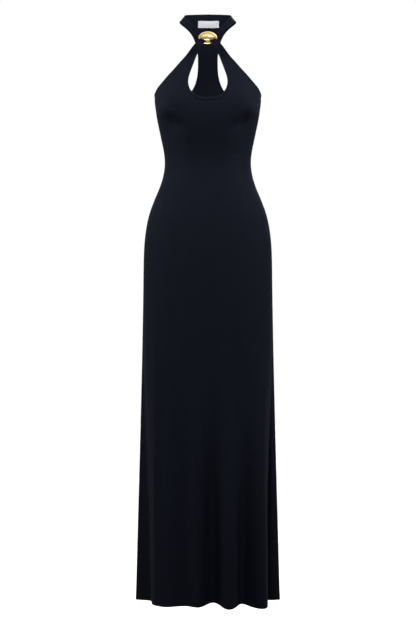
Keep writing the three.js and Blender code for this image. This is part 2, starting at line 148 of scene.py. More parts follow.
# Edges of the cut as x and z, each half the same.
KEYHOLE_EDGE = (
    (5.5, -59), (12.2, -67.4), (21.5, -81), (29.8, -96.9), (37.6, -117.7), (45.2, -138.8), (49.6, -155),
    (50.3, -166), (48.6, -176.5), (43, -189.2), (32, -200), (17, -206.1), (0, KEYHOLE_BOTTOM),
)
ARMHOLE_EDGE = (
    (17.4, -52), (23.4, -55), (32.3, -66), (44.7, -81.5), (67.5, -107.2), (89.2, -133), (111.2, -158.5),
    (120.2, -168.1), (128.6, -176.4), (134.7, -185.3), (138.6, UNDERARM),
)
YOKE_EDGE = (
    (74, -0.5), (68, -4.5), (58.5, -10.5), (50.3, -17.3), (43.5, -25.3), (36.6, -37), (32.5, -48),
)
RACER_EDGE = ((32.5, -48), (26.9, -75.5), (26.2, -103.8), (28.2, -130), (33.6, -151), (41.2, -166.8))
BACK_ARMHOLE_EDGE = ((41.2, -166.8), (60, -183), (88, -196), (118, -201), (138.6, UNDERARM))

# The neck strap's lower and upper edge, each as x and z, and how far it stands off the form.
NECK_STRAP = np.array([
    (15.2, -48.7, 4.1, -57.2, 11),
    (16.3, -48.8, 3.4, -51.5, 8.2),
    (17.3, -49.2, 6.8, -45.2, 4.9),
    (21.3, -50.8, 12.6, -43, 4.4),
    (26.6, -48.4, 18.2, -41.2, 3.4),
    (34.2, -39.6, 25.3, -32.2, 1.6),
    (43, -29.9, 33.5, -22, 0.8),
    (55.8, -18.2, 44.2, -8.5, 0.4),
    (66.4, -8, 53.3, 2.9, 0.2),
    (71.9, -2.2, 58.6, 10.5, 0),
    (74.2, 0, 62, NECK_SIDE_TOP, 0),
])

# Where the halter arms rise over the ring's lower rim, and how many gathers grow on each and where
RING_SEAT_LIFT, RING_SEAT_FROM, RING_SEAT_TO = 11.6, -104, -66
GATHERS, GATHER_DEPTH, GATHER_FROM, GATHER_TO = 4, 0.8, -132, -70

# The cast ring, and how round its rim's and its collar's sections are (1 is round, 0 square)
RING_Z, RING_WIDTH, RING_HEIGHT = -50.2, 48, 32.4
RIM, RIM_THICK, RIM_BACK, RIM_ROUND = 6.5, 4, -65.3, 0.85
DOME_WIDTH, DOME_HEIGHT, DOME_RISE, DOME_BACK = 37, 20, 8, -72.8
COLLAR_WIDTH, COLLAR_HEIGHT, COLLAR_WALL, COLLAR_ROUND = 36.6, 19.9, 1.6, 0.5
COLLAR_START = math.radians(25)

# The label, and how far in from its ends it is sewn
LABEL_WIDTH, LABEL_HEIGHT, LABEL_X, LABEL_Z = 55.8, 17.8, 1.9, 1.3
LABEL_GAP, LABEL_THICK, LABEL_FOLD, LABEL_SEWN = 1.9, 0.6, 4, 2

# The band round the keyhole: where it ends under the ring, and how wide it is cut for each
# millimetre of its finished width. Its section gives the reach from the edge and the height over
# the front, at the usual width.
BINDING_TOP, BINDING_FADE, BINDING_USUAL, BINDING_CUT = -70, 9, 6, 2.1
BINDING_SECTION = np.array([
    (6.2, 0.15), (5.95, 0.6), (5.2, 0.95), (3.6, 1.1), (1.8, 1.1), (0.4, 0.95), (-0.45, 0.35),
    (-0.7, -0.6), (-0.4, -1.55), (0.6, -2.1), (2.4, -2.2), (4.4, -2.15), (5.2, -1.9), (5.3, -1.6),
    (4.2, -1.5), (1.2, -1.5), (0.25, -1.3), (0.0, -0.6), (0.3, 0.15), (1.6, 0.25), (4.0, 0.22),
])

# Creases set on the cloth as it is seen: from and to as x and z, how far the line bows, how
# far the cloth rises (a trough is negative) and the crease's half width.
FRONT_CREASES = (
    # Gathers that run out of the ring along the arms
    (13, -72, 44, -118, 3, -1.3, 2.6),
    (19, -68, 66, -136, -4, -1.0, 3.4),
    (10, -78, 33, -110, 2, -0.8, 2.2),
    (16, -72, 55, -130, 1, 0.7, 3.0),
    (-13, -72, -37, -112, -2, -1.1, 2.6),
    (-20, -68, -60, -126, 4, -0.9, 3.4),
    (-9, -78, -30, -106, -2, -0.7, 2.2),
    # Drag lines from the underarms and below the bust
    (-128, -206, -94, -214, 3, -1.0, 6),
    (-120, -252, -48, -288, -3, -4.2, 14),
    (126, -204, 96, -212, -3, -1.1, 6),
    (128, -250, 42, -292, 4, -3.9, 14),
    # Waist and belly
    (-98, -350, -48, -366, -3, -0.8, 6),
    (-100, -388, -54, -380, 3, -0.7, 6),
    (102, -358, 56, -348, 3, -0.8, 6),
    (100, -394, 44, -404, -3, -0.8, 7),
    (20, -486, 76, -492, 4, -1.2, 6),
    (-70, -508, -16, -500, -3, -0.7, 8),
    # Long lines of the skirt
    (-86, -620, -64, -980, 6, -1.2, 10),
    (-38, -900, -52, -1560, -4, 2.0, 14),
    (58, -700, 66, -1080, -5, -1.4, 11),
    (-112, -900, -104, -1560, 3, -2.2, 7),
    (26, -1290, 28, -1560, -1, -4.5, 5),
    (84, -1180, 80, -1560, 2, -6.5, 5),
    (112, -1330, 106, -1560, -2, -5.0, 5),
    (134, -1120, 126, -1560, 2, 2.0, 8),
    (2, -880, 22, -1700, 3, 8.0, 20),
    (-134, -640, -126, -1560, 0, 4.0, 10),
)
BACK_CREASES = (
    # The strap and the armholes
    (-9, -58, -13, -140, 2, -0.7, 4),
    (12, -50, 9, -118, -2, -0.6, 4),
    (-44, -172, -86, -236, 6, -1.1, 9),
    (46, -174, 94, -232, -7, -1.2, 9),
    (-124, -214, -78, -244, 3, -1.0, 7),
    (122, -218, 72, -250, -4, -1.1, 7),
    # The small of the back
    (-92, -338, -14, -352, 5, -1.4, 7),
    (-84, -372, 8, -382, 6, -1.7, 7),
    (90, -348, 22, -364, -5, -1.5, 7),
    (86, -392, -6, -404, -6, -1.4, 8),
    (-60, -414, 38, -424, 4, -0.9, 9),
    # Seat and thighs
    (-126, -560, -70, -640, 10, -1.5, 12),
    (128, -548, 66, -632, -12, -1.6, 12),
    (-16, -640, -10, -900, 3, -2.2, 13),
    # Long lines of the skirt
    (-96, -800, -84, -1300, 5, -2.0, 10),
    (72, -760, 86, -1240, -6, -2.2, 10),
    (-128, -1080, -116, -1560, 3, -4.0, 6),
    (-44, -1200, -40, -1560, -2, -5.0, 6),
    (30, -1060, 22, -1560, 3, 2.2, 10),
    (104, -1140, 96, -1560, -3, -5.0, 6),
    (142, -1240, 138, -1560, 2, -3.5, 6),
)

# Gathers of a neck strap: share across it, depth, half width in share, and where they fade out.
STRAP_GATHERS = (
    (0.13, 0.8, 0.035, 0.8),
    (0.27, 1.7, 0.055, 2.4),
    (0.4, 0.8, 0.03, 0.6),
    (0.52, 1.5, 0.045, 1.7),
    (0.66, 0.9, 0.035, 0.9),
    (0.76, 1.7, 0.05, 2.1),
    (0.89, 0.8, 0.03, 0.7),
)

# Turned and stitched edges: distances of the mesh's lines from an edge, and which are sewn.
EDGE_STEPS = np.array([0, 0.3, 0.7, 1.2, 2.0, 2.8, 3.4, 4.0, 4.8, 6.0, 8.5])
EDGE_STITCH_STEP = 6
HEM_STEPS = np.array([26, 23.5, 22, 21, 20, 18.5, 17, 16, 15, 13, 9, 5, 2.5, 1.2, 0.5, 0.0])
HEM_STITCH_STEPS = (3, 7)

# Side seams: how deep and how wide the cloth sinks there, and how wide the allowance inside is
SEAM_SINK, SEAM_SPREAD, SIDE_ALLOWANCE = 0.55, 1.3, 7

# A row that ends past this turn ends at a side seam.
AT_SEAM = 0.999

# Heights below which the edges of the halter arms and of the yoke are sewn
ARM_SEWN_BELOW, YOKE_SEWN_BELOW = -58, -3

# Machine stitches of navy thread, and the finer ones of the label
STITCH_LENGTH, STITCH_PITCH, THREAD = 2.5, 3.1, 0.42
LABEL_STITCH_LENGTH, LABEL_STITCH_PITCH, LABEL_THREAD = 1.9, 2.4, 0.3

# The camera stands where the photographer's did, in millimetres, with a lens for a 36 mm frame.
CAMERA_X, CAMERA_BACK, CAMERA_HEIGHT = 0.4, 5000, -754
LENS, CAMERA_FRAME, VIEW_END = 110.9, 36, 60
FLOOR_HEIGHT, FLOOR_CORNER, FLOOR_SUN = -1750, 12000, 3.5

# Soft boxes, in metres and watts: name, place, what each faces, width, height and power. The
# dress's boxes leave out the ring, whose polish would mirror them whole. It has small ones.
CHEST, SKIRT, RING_MIDDLE = (0, 0, -0.25), (0, 0, -1.4), (0, -0.07, RING_Z * MM)
DRESS_BOXES = (
    ("front_box", (0.12, -1.45, 0.62), CHEST, 1.4, 0.7, 22),
    ("right_box", (-1.25, -0.25, 0.12), CHEST, 0.7, 1.2, 14),
    ("left_box", (1.25, -0.3, 0.35), CHEST, 0.7, 1.0, 15),
    ("back_box", (0.3, 2.3, 1.0), CHEST, 1.6, 1.2, 40),
    ("skirt_box", (0.1, -2.1, -1.1), SKIRT, 1.2, 0.6, 3.2),
)
RING_BOXES = (
    ("ring_low_box", (-0.08, -0.5, -0.7), RING_MIDDLE, 0.4, 0.36, 3.0),
    ("ring_high_box", (0.36, -0.8, 0.34), RING_MIDDLE, 0.6, 0.3, 1.6),
    ("ring_top_box", (-0.1, -0.8, 1.1), RING_MIDDLE, 1.8, 1.0, 3.6),
)

# How strong the air is from below to above, for matt surfaces and for what a polished one mirrors
AIR = {"From Min": -0.5, "From Max": 0.9, "To Min": 0.08, "To Max": 0.15}
ROOM = {"From Min": -0.15, "From Max": 0.25, "To Min": 0.26, "To Max": 0.8}

# A leg is a stretch of a panel: places down its inner and its outer side, and the bends of its first
# and last row. The legs of a panel are joined into its rows. A skin has points and faces, the numbers
# of each half's points in rows, each point's place on the flat cloth and how thick the cloth is there.
Leg = namedtuple("Leg", "inner outer bend")
PanelRows = namedtuple("PanelRows", "inner outer bend")
PanelSkin = namedtuple("PanelSkin", "points quads number uv depth")


def linear(colour):
    """An sRGB hex colour such as #14171f as linear red, green and blue."""
    shares = [int(colour[place:place + 2], 16) / 255 for place in (1, 3, 5)]
    return tuple(c / 12.92 if c <= 0.04045 else ((c + 0.055) / 1.055) ** 2.4 for c in shares)


def smooth(share):
    """Nought to one with level ends: three times the share squared less twice its cube."""
    share = np.clip(share, 0, 1)
    return share * share * (3 - 2 * share)


def step_down(gap, height, start, width):
    """A height that falls smoothly to nought over a width, from a start on."""
    return height * (1 - smooth((gap - start) / width))


def bell(gap, height, width):
    """A height that falls off to both sides as e to the power of minus the squared gap."""
    return height * np.exp(-((gap / width) ** 2))


def rounded_off(gap, depth, reach):
    """A quarter circle's drop: the depth at an edge, and nought from the reach inwards."""
    return depth * (1 - np.sqrt(np.clip(1 - (1 - np.clip(gap / reach, 0, 1)) ** 2, 0, 1)))


def filled_out(wave, power):
    """A sine or cosine with fuller corners: its size to a power, with its sign."""
    return np.sign(wave) * np.abs(wave) ** power


def form(name, z):
    """One column of the form at heights z: a cubic between two rows, whose slope at each row is
    that of the line from the row above it to the row below it."""
    column = FORM[:, FORM_COLUMNS.index(name)]
    heights = FORM[:, 0]
    rows = np.arange(len(heights))
    above, below = np.maximum(rows - 1, 0), np.minimum(rows + 1, rows[-1])
    slopes = (column[below] - column[above]) / (heights[below] - heights[above])
    row = np.clip(np.searchsorted(-heights, -np.asarray(z, float)) - 1, 0, len(heights) - 2)
    span = heights[row + 1] - heights[row]
    share = np.clip((z - heights[row]) / span, 0, 1)
    rest = 1 - share
    ends = column[row] * rest**2 * (1 + 2 * share) + column[row + 1] * share**2 * (3 - 2 * share)
    return ends + span * share * rest * (slopes[row] * rest - slopes[row + 1] * share)


def bust_rise(x, turn, z):
    """A bell over each breast, taller above than below, that dies out at the side seam. Between
    them the cloth spans a shallow valley, lower down, and falls back slowly to the waist."""
    between = 1 - smooth((x / BUST_INNER) ** 2)
    peak = BUST_Z - BUST_DROP * between
    tall = np.where(z > peak, BUST_ABOVE, BUST_BELOW + (BUST_BELOW_MIDDLE - BUST_BELOW) * between)
    aside = np.maximum(0, np.abs(x) - BUST_X) / BUST_OUTER
    swell = np.exp(-(aside**2) - ((z - peak) / tall) ** 2)
    return BUST_RISE * (1 - BUST_VALLEY * between) * (1 - turn**4) * swell


def fold_rise(folds, turn, z):
    """The sum of the folds: each a bell across the turn, grown smoothly from its top to the hem."""
    rise = np.zeros(np.broadcast(turn, z).shape)
    for hem_turn, top_turn, top, out, spread in folds:
        grown = np.clip((top - z) / (top - HEM), 0, 1)
        middle = top_turn + (hem_turn - top_turn) * grown
        rise += out * smooth(grown) * bell(turn - middle, 1, spread)
    return rise


def cloth(face, turn, z, lift=0.0):
    """The cloth's outer face: a superellipse round the form at each height, pushed out along its
    normal by the bust and the lift, and forwards by the folds, which also let its edge drop."""
    wing = form("wing", z) if face is FRONT else np.zeros(np.shape(z))
    half, depth, power = form("width", z) - wing, form(face.depth, z), form(face.power, z)
    across, ahead = np.abs(np.sin(turn * math.pi / 2)), np.abs(np.cos(turn * math.pi / 2))
    reach = ((across / half) ** power + (ahead / depth) ** power) ** (-1 / power)
    side = np.sign(turn)
    x, y = side * reach * across, face.way * reach * ahead
    normal_x = side * (np.abs(x) / half) ** (power - 1) / half
    normal_y = face.way * (np.abs(y) / depth) ** (power - 1) / depth
    length = np.hypot(normal_x, normal_y)
    normal_x, normal_y = normal_x / length, normal_y / length
    pushed = np.hypot(normal_x * FOLD_SIDEWAYS, normal_y)
    fold = fold_rise(face.folds, turn, z)
    out = lift + (bust_rise(x, turn, z) if face is FRONT else 0)
    x = x + normal_x * out + normal_x * FOLD_SIDEWAYS / pushed * fold
    y = y + normal_y * out + normal_y / pushed * fold
    x = x + side * wing * bell(y, 1, WING_FOLD)
    if face is FRONT:
        grown = smooth((GROOVE_TOP - z) / (GROOVE_TOP - GROOVE_FULL))
        y = y + GROOVE_DEPTH * grown * bell(turn - GROOVE_TURN, 1, GROOVE_SPREAD)
    return np.stack([x, y + face.way * SEAM_GAP / 2, z - FOLD_DIP * fold], axis=-1)


def turn_at(face, x, z):
    """The turn of the form's point at a distance x from the middle, signed as x is."""
    x, z = np.asarray(x, float), np.asarray(z, float)
    half = form("width", z) - (form("wing", z) if face is FRONT else 0)
    power = form(face.power, z)
    ratio = np.clip(np.abs(x) / half, 0, 1)
    y = form(face.depth, z) * (1 - ratio**power) ** (1 / power)
    return np.sign(x) * np.arctan2(ratio * half, y) / (math.pi / 2)


def curve_through(points, share):
    """A smooth curve through points at a share of its spans: a cubic between two points, whose
    slopes weigh the neighbouring spans by the square roots of their lengths."""
    points = np.asarray(points, float)
    lengthened = np.vstack([2 * points[0] - points[1], points, 2 * points[-1] - points[-2]])
    place = np.asarray(share, float) * (len(points) - 1)
    span = np.clip(place.astype(int), 0, len(points) - 2)
    before, start, end, after = (lengthened[span + step] for step in range(4))
    root = [np.sqrt(np.linalg.norm(b - a, axis=-1))[..., None] for a, b in
            ((before, start), (start, end), (end, after))]
    middle = (end - start) / root[1]
    leave = ((start - before) / root[0] - (end - before) / (root[0] + root[1]) + middle) * root[1]
    reach = (middle - (after - start) / (root[1] + root[2]) + (after - end) / root[2]) * root[1]
    t = (place - span)[..., None]
    return (start + leave * t + (3 * (end - start) - 2 * leave - reach) * t**2
            + (2 * (start - end) + leave + reach) * t**3)


def edge_places(face, edge, count):
    """An edge as evenly spaced places, each a turn and a height."""
    edge = np.asarray(edge, float)
    corners = np.column_stack([turn_at(face, edge[:, 0], edge[:, 1]) * TURN_MM, edge[:, 1]])
    fine = curve_through(corners, np.linspace(0, 1, 50 * len(corners)))
    length = np.concatenate([[0], np.cumsum(np.linalg.norm(np.diff(fine, axis=0), axis=1))])
    even = np.linspace(0, length[-1], count + 1)
    turn = np.maximum(np.interp(even, length, fine[:, 0]) / TURN_MM, 0)
    return np.column_stack([turn, np.interp(even, length, fine[:, 1])])


def straight_places(turn, heights):
    """Places down a line of one turn."""
    return np.column_stack([np.full(len(heights), turn), heights])


def skirt_heights(count):
    """Heights from the waist to the hem, close together where the hem is turned and stitched."""
    return np.concatenate([np.linspace(WAIST, HEM + HEM_STEPS[0], count + 1), HEM + HEM_STEPS[1:]])


def crease_rise(face, creases, turn, z):
    """The sum of the creases: a bell across each bowed line, with soft ends."""
    u = turn * TURN_MM
    rise = np.zeros(np.shape(z))
    for from_x, from_z, to_x, to_z, bow, out, width in creases:
        start_u = turn_at(face, from_x, from_z) * TURN_MM
        run_u = turn_at(face, to_x, max(to_z, HEM)) * TURN_MM - start_u
        run_z = to_z - from_z
        length = math.hypot(run_u, run_z)
        along = ((u - start_u) * run_u + (z - from_z) * run_z) / length**2
        aside = ((u - start_u) * run_z - (z - from_z) * run_u) / length
        bowed = aside - bow * 4 * along * (1 - along)
        ends = smooth(along / 0.3) * smooth((1 - along) / 0.3)
        rise += out * ends * bell(bowed, 1, width)
    return rise


def turned_edge(gap):
    """An edge turned in and stitched: raised by the cloth beneath it, dented along the sewing and
    rounded off at the fold. Gap is the distance from the edge."""
    raised = step_down(gap, height=0.45, start=3.9, width=1.2)
    sewn = bell(gap - EDGE_STEPS[EDGE_STITCH_STEP], height=0.35, width=0.55)
    return raised - sewn - rounded_off(gap, depth=0.5, reach=0.9)


def turned_depth(gap):
    """How much thicker the cloth is where its edge is turned in."""
    return step_down(gap, height=0.7, start=4.0, width=0.8)


def sewn_hem(above):
    """The hem seen from outside: a faint step at the top of its turning and two lines of sewing."""
    lines = sum(bell(above - HEM_STEPS[step], height=0.3, width=0.8) for step in HEM_STITCH_STEPS)
    raised = step_down(above, height=0.25, start=21, width=3)
    return raised - lines - rounded_off(above, depth=0.4, reach=1.2)


def hem_depth(above):
    """How much thicker the cloth is inside the hem's turning."""
    return step_down(above, height=0.6, start=22, width=1.5)


def front_rows():
    """The front's rows from the arms' tips to the hem, each from its inner to its outer end."""
    arm, bodice, skirt = 78, 34, 118
    armhole = ARMHOLE_EDGE + ((float(form("width", SIDE_SEAM_TOP)), SIDE_SEAM_TOP),)
    heights = skirt_heights(skirt)
    return panel_rows((
        Leg(edge_places(FRONT, KEYHOLE_EDGE, arm), edge_places(FRONT, armhole, arm), (0, 0.9)),
        Leg(straight_places(0, np.linspace(KEYHOLE_BOTTOM, WAIST, bodice)),
            straight_places(1, np.linspace(SIDE_SEAM_TOP, WAIST, bodice)), (0.9, 0)),
        Leg(straight_places(0, heights), straight_places(1, heights), (0, 0)),
    ))


def back_rows():
    """The back's rows from the nape band to the hem. The band's first rows follow its turned edge."""
    band, yoke, racer, armhole, bodice, skirt = 22, 22, 36, 36, 30, 108
    heights = skirt_heights(skirt)
    turned, turned_share = 24, 0.42
    band_share = np.concatenate([
        EDGE_STEPS / turned, np.linspace(turned_share, 1, band - len(EDGE_STEPS)),
    ])
    band_side = NECK_SIDE_TOP + (YOKE_EDGE[0][1] - NECK_SIDE_TOP) * band_share
    return panel_rows((
        Leg(straight_places(0, NAPE_TOP + (BAND_BOTTOM - NAPE_TOP) * band_share),
            straight_places(1, band_side), (-0.9, -0.9)),
        Leg(straight_places(0, np.linspace(BAND_BOTTOM, RACER_TOP, yoke + 1)),
            edge_places(BACK, YOKE_EDGE, yoke), (-0.9, 0)),
        Leg(straight_places(0, np.linspace(RACER_TOP, RACER_BOTTOM, racer + 1)),
            edge_places(BACK, RACER_EDGE, racer), (0, 0)),
        Leg(straight_places(0, np.linspace(RACER_BOTTOM, SHOULDERS_BOTTOM, armhole + 1)),
            edge_places(BACK, BACK_ARMHOLE_EDGE, armhole), (0, 0)),
        Leg(straight_places(0, np.linspace(SHOULDERS_BOTTOM, WAIST, bodice)),
            straight_places(1, np.linspace(UNDERARM, WAIST, bodice)), (0, 0)),
        Leg(straight_places(0, heights), straight_places(1, heights), (0, 0)),
    ))


def panel_rows(legs):
    """Joins the legs of a panel, leaving out each leg's first row where the last one ended."""
    skip = [int(index > 0) for index in range(len(legs))]
    bends = [np.linspace(*leg.bend, len(leg.inner)) for leg in legs]
    return PanelRows(
        np.vstack([leg.inner[first:] for leg, first in zip(legs, skip)]),
        np.vstack([leg.outer[first:] for leg, first in zip(legs, skip)]),
        np.concatenate([bend[first:] for bend, first in zip(bends, skip)]),
    )


def row_places(rows, shares):
    """Turn and height at shares along each row: straight in turn, and sagging by the row's bend."""
    turn = rows.inner[:, :1] + (rows.outer[:, :1] - rows.inner[:, :1]) * shares
    drop = shares + rows.bend[:, None] * shares * (1 - shares)
    return turn, rows.inner[:, 1:] + (rows.outer[:, 1:] - rows.inner[:, 1:]) * drop


def slant(points, edge, inside):
    """The sine of the angle between each row and the panel's edge, at least 0.3."""
    along = np.gradient(points[:, edge], axis=0)
    row = points[:, inside] - points[:, edge]
    cross = np.linalg.norm(np.cross(along, row), axis=1)
    return np.clip(cross / (np.linalg.norm(along, axis=1) * np.linalg.norm(row, axis=1)), 0.3, 1)


def column_shares(face, rows, columns):
    """Shares along each row that keep the mesh's lines at the edge steps from both its ends."""
    coarse = cloth(face, *row_places(rows, np.tile(np.linspace(0, 1, 33), (len(rows.bend), 1))))
    width = np.linalg.norm(np.diff(coarse, axis=1), axis=2).sum(axis=1)
    near, far = slant(coarse, 0, 1), slant(coarse, -1, -2)
    inner, outer = (EDGE_STEPS / (width * edge)[:, None] for edge in (near, far))
    most = np.maximum(inner[:, -1:], outer[:, -1:])
    fit = np.minimum(1, 0.4 / most)
    inner, outer = inner * fit, outer * fit
    middle = np.linspace(0, 1, columns - 2 * len(EDGE_STEPS) + 2)[1:-1]
    between = inner[:, -1:] + (1 - outer[:, -1:] - inner[:, -1:]) * middle
    return np.hstack([inner, between, 1 - outer[:, ::-1]])


def panel_skin(face, rows, columns, details):
    """Both halves of a panel as one skin. Details gives, from the turn, the height, the share along
    the row and the gap to its outer end, how far the cloth is lifted and how thick it is."""
    shares = column_shares(face, rows, columns)
    turn, z = row_places(rows, shares)
    closed = np.isclose(rows.inner[:, 0], 0)
    count = turn.size
    number = np.stack([np.arange(count), np.arange(count, 2 * count)]).reshape(2, *turn.shape)
    number[1, closed, 0] = number[0, closed, 0]
    halves, maps, depths, quads = [], [], [], []
    for index, side in enumerate((1, -1)):
        base = cloth(face, side * turn, z)
        step = np.linalg.norm(np.diff(base, axis=1), axis=2)
        along = np.hstack([np.zeros((len(step), 1)), np.cumsum(step, axis=1)])
        outer_gap = (along[:, -1:] - along) * slant(base, -1, -2)[:, None]
        lift, depth = details(side * turn, z, shares, outer_gap)
        halves.append(cloth(face, side * turn, z, lift))
        depths.append(depth)
        maps.append(np.stack([side * (rows.inner[:, :1] * TURN_MM + along), z], axis=-1))
        corners = number[index]
        ring = [corners[:-1, :-1], corners[1:, :-1], corners[1:, 1:], corners[:-1, 1:]]
        if side * face.way > 0:
            ring.reverse()
        quads.append(np.stack(ring, axis=-1).reshape(-1, 4))
    return PanelSkin(np.concatenate(halves).reshape(-1, 3), np.concatenate(quads), number,
                     np.concatenate(maps).reshape(-1, 2), np.concatenate(depths).ravel())


def crossed_diagonals(points, quads):
    """The cross product of each face's diagonals: twice its area, along its normal."""
    first, second, third, fourth = (points[quads[:, corner]] for corner in range(4))
    return np.cross(third - first, fourth - second)


def vertex_normals(points, quads):
    """Each vertex's normal: the sum of the crossed diagonals of the faces round it. Beside a side
    seam it is turned level with X and Z, so that both walls end square to the gap."""
    crossed = crossed_diagonals(points, quads)
    normals = np.zeros_like(points)
    for corner in range(4):
        np.add.at(normals, quads[:, corner], crossed)
    beside_seam = np.abs(points[:, 1]) < SEAM_GAP
    normals[beside_seam, 1] = 0
    return normals / np.maximum(np.linalg.norm(normals, axis=1), 1e-12)[:, None]


def wall(points, quads, outer, inner, rim=0.35):
    """A closed wall between two distances from a skin, with its free edges rounded by a line of
    points halfway through the wall, pushed out beyond the edge, though hardly into a side seam."""
    used, place = np.unique(quads, return_inverse=True)
    quads = place.reshape(quads.shape)
    outer, inner = (np.broadcast_to(height, len(points))[used] for height in (outer, inner))
    points = points[used]
    normals = vertex_normals(points, quads)
    count = len(points)
    starts, ends = quads.ravel(), np.roll(quads, -1, axis=1).ravel()
    lone = ~np.isin(starts * count + ends, ends * count + starts)
    start, end = starts[lone], ends[lone]
    away = np.zeros_like(points)
    outward = np.cross(points[end] - points[start], (normals[start] + normals[end]) / 2)
    np.add.at(away, start, outward)
    np.add.at(away, end, outward)
    away /= np.maximum(np.linalg.norm(away, axis=1), 1e-12)[:, None]
    seam_rim = 0.05
    reach = np.where(np.abs(points[:, 1]) < 2 * SEAM_GAP, seam_rim, rim)[:, None]
    edge = np.unique(np.concatenate([start, end]))
    edge_number = np.zeros(count, int)
    edge_number[edge] = np.arange(len(edge)) + 2 * count
    middle = points + normals * ((outer + inner) / 2)[:, None] + away * reach
    outer_points, inner_points = (points + normals * height[:, None] for height in (outer, inner))
    every = np.vstack([outer_points, inner_points, middle[edge]])
    faces = np.vstack([
        quads,
        quads[:, ::-1] + count,
        np.column_stack([end, start, edge_number[start], edge_number[end]]),
        np.column_stack([edge_number[end], edge_number[start], start + count, end + count]),
    ])
    source = np.concatenate([used, used, used[edge]])
    return every, faces, source


def make_piece(name, points, faces, uv=None):
    """Puts points in millimetres and arrays of faces into a new smooth mesh object in metres."""
    mesh = bpy.data.meshes.new(name)
    groups = faces if isinstance(faces, (list, tuple)) else [faces]
    corners = np.concatenate([group.ravel() for group in groups])
    sizes = np.concatenate([np.full(len(group), group.shape[1]) for group in groups])
    mesh.vertices.add(len(points))
    mesh.vertices.foreach_set("co", (points * MM).ravel())
    mesh.loops.add(len(corners))
    mesh.loops.foreach_set("vertex_index", corners)
    mesh.polygons.add(len(sizes))
    mesh.polygons.foreach_set("loop_start", np.concatenate([[0], np.cumsum(sizes)[:-1]]))
    mesh.polygons.foreach_set("use_smooth", np.ones(len(sizes), bool))
    if uv is not None:
        layer = mesh.uv_layers.new(name="cloth")
        layer.data.foreach_set("uv", (uv[corners] * MM).ravel())
    mesh.update(calc_edges=True)
    if mesh.validate():
        raise RuntimeError(f"{name}: its mesh had faults")
    piece = bpy.data.objects.new(name, mesh)
    bpy.context.scene.collection.objects.link(piece)
    return piece


def grid_quads(rows, columns, around=False, down=False):
    """The faces of a grid of points, which may close on itself across or down."""
    number = np.arange(rows * columns).reshape(rows, columns)
    if around:
        number = np.hstack([number, number[:, :1]])
    if down:
        number = np.vstack([number, number[:1]])
    ring = [number[:-1, :-1], number[1:, :-1], number[1:, 1:], number[:-1, 1:]]
    return np.stack(ring, axis=-1).reshape(-1, 4)


def joined(parts):
    """Several lots of points and faces as one."""
    points = np.vstack([part[0] for part in parts])
    offsets = np.concatenate([[0], np.cumsum([len(part[0]) for part in parts])[:-1]])
    faces = np.vstack([part[1] + offset for part, offset in zip(parts, offsets)])
    return points, faces


def stitches(run, normals, length=STITCH_LENGTH, pitch=STITCH_PITCH, thickness=THREAD):
    """A line of stitches along a run of points: each a thread of six sides with narrow ends, half
    sunk into the cloth, turned and stretched a little by chance as a machine leaves them."""
    steps = np.concatenate([[0], np.cumsum(np.linalg.norm(np.diff(run, axis=0), axis=1))])
    middles = np.arange(pitch / 2, steps[-1], pitch)
    if not len(middles):
        raise RuntimeError("a line of stitches is shorter than one stitch")

    def along_run(places, values):
        return np.column_stack([np.interp(places, steps, values[:, axis]) for axis in range(3)])

    at, up = along_run(middles, run), along_run(middles, normals)
    ahead, behind = along_run(middles + 0.5, run), along_run(middles - 0.5, run)
    along = (ahead - behind) / np.linalg.norm(ahead - behind, axis=1)[:, None]
    across = np.cross(up, along)
    across /= np.linalg.norm(across, axis=1)[:, None]
    up = np.cross(along, across)
    chance = np.random.default_rng(len(middles))
    mean_turn, mean_stretch = 0.05, 0.03
    turn = chance.normal(0, mean_turn, len(middles))[:, None]
    along, across = along + turn * across, across - turn * along
    places = np.array([-1, -0.72, 0, 0.72, 1]) * length / 2
    radii = np.array([0.25, 0.85, 1, 0.85, 0.25]) * thickness / 2
    angles = np.arange(6) * math.pi / 3
    stretch = 1 + chance.normal(0, mean_stretch, len(middles))
    points = (
        at[:, None, None]
        + along[:, None, None] * (places[None, :, None, None] * stretch[:, None, None, None])
        + across[:, None, None] * (radii[:, None] * np.cos(angles))[None, :, :, None]
        + up[:, None, None] * (radii[:, None] * np.sin(angles) + 0.1 * thickness)[None, :, :, None]
    )
    tube = grid_quads(len(places), 6, around=True)[:, ::-1]
    caps = np.array([[3, 2, 1, 0], [5, 4, 3, 0]])
    last = 6 * (len(places) - 1)
    one = np.vstack([tube, caps, caps[:, ::-1] + last])
    each = np.arange(len(middles))[:, None, None] * 6 * len(places)
    return points.reshape(-1, 3), (one[None] + each).reshape(-1, 4)


def sewing(name, runs, thread="navy_thread", colour="#0f121a", slot="jersey", **sizes):
    """One piece of all the stitches along several runs, each given as points and normals."""
    threads = make_piece(name, *joined([stitches(*run, **sizes) for run in runs]))
    return dress_piece(threads, finished(thread, thread_material, thread, linear(colour)))


def add_node(tree, kind, inputs=None, **settings):
    """Adds a node with its settings. An input is a value, or the output that is linked to it."""
    made = tree.nodes.new(kind)
    for name, value in settings.items():
        setattr(made, name, value)
    for name, value in (inputs or {}).items():
        if isinstance(value, bpy.types.NodeSocket):
            tree.links.new(value, made.inputs[name])
        else:
            made.inputs[name].default_value = value
    return made


def new_material(name):
    """An empty node material and its output node."""
    material = bpy.data.materials.new(name)
    material.use_nodes = True
    material.node_tree.nodes.clear()
    return material, material.node_tree, add_node(material.node_tree, "ShaderNodeOutputMaterial")


# Fine viscose jersey: wales of 0.7 mm and courses of 0.5 mm are too fine for the picture, so uneven
# streaks about 4 mm wide carry the knit's upright grain there.
WALE, COURSE = 0.7 * MM, 0.5 * MM
STREAK, STREAK_LENGTH = 4 * MM, 90 * MM


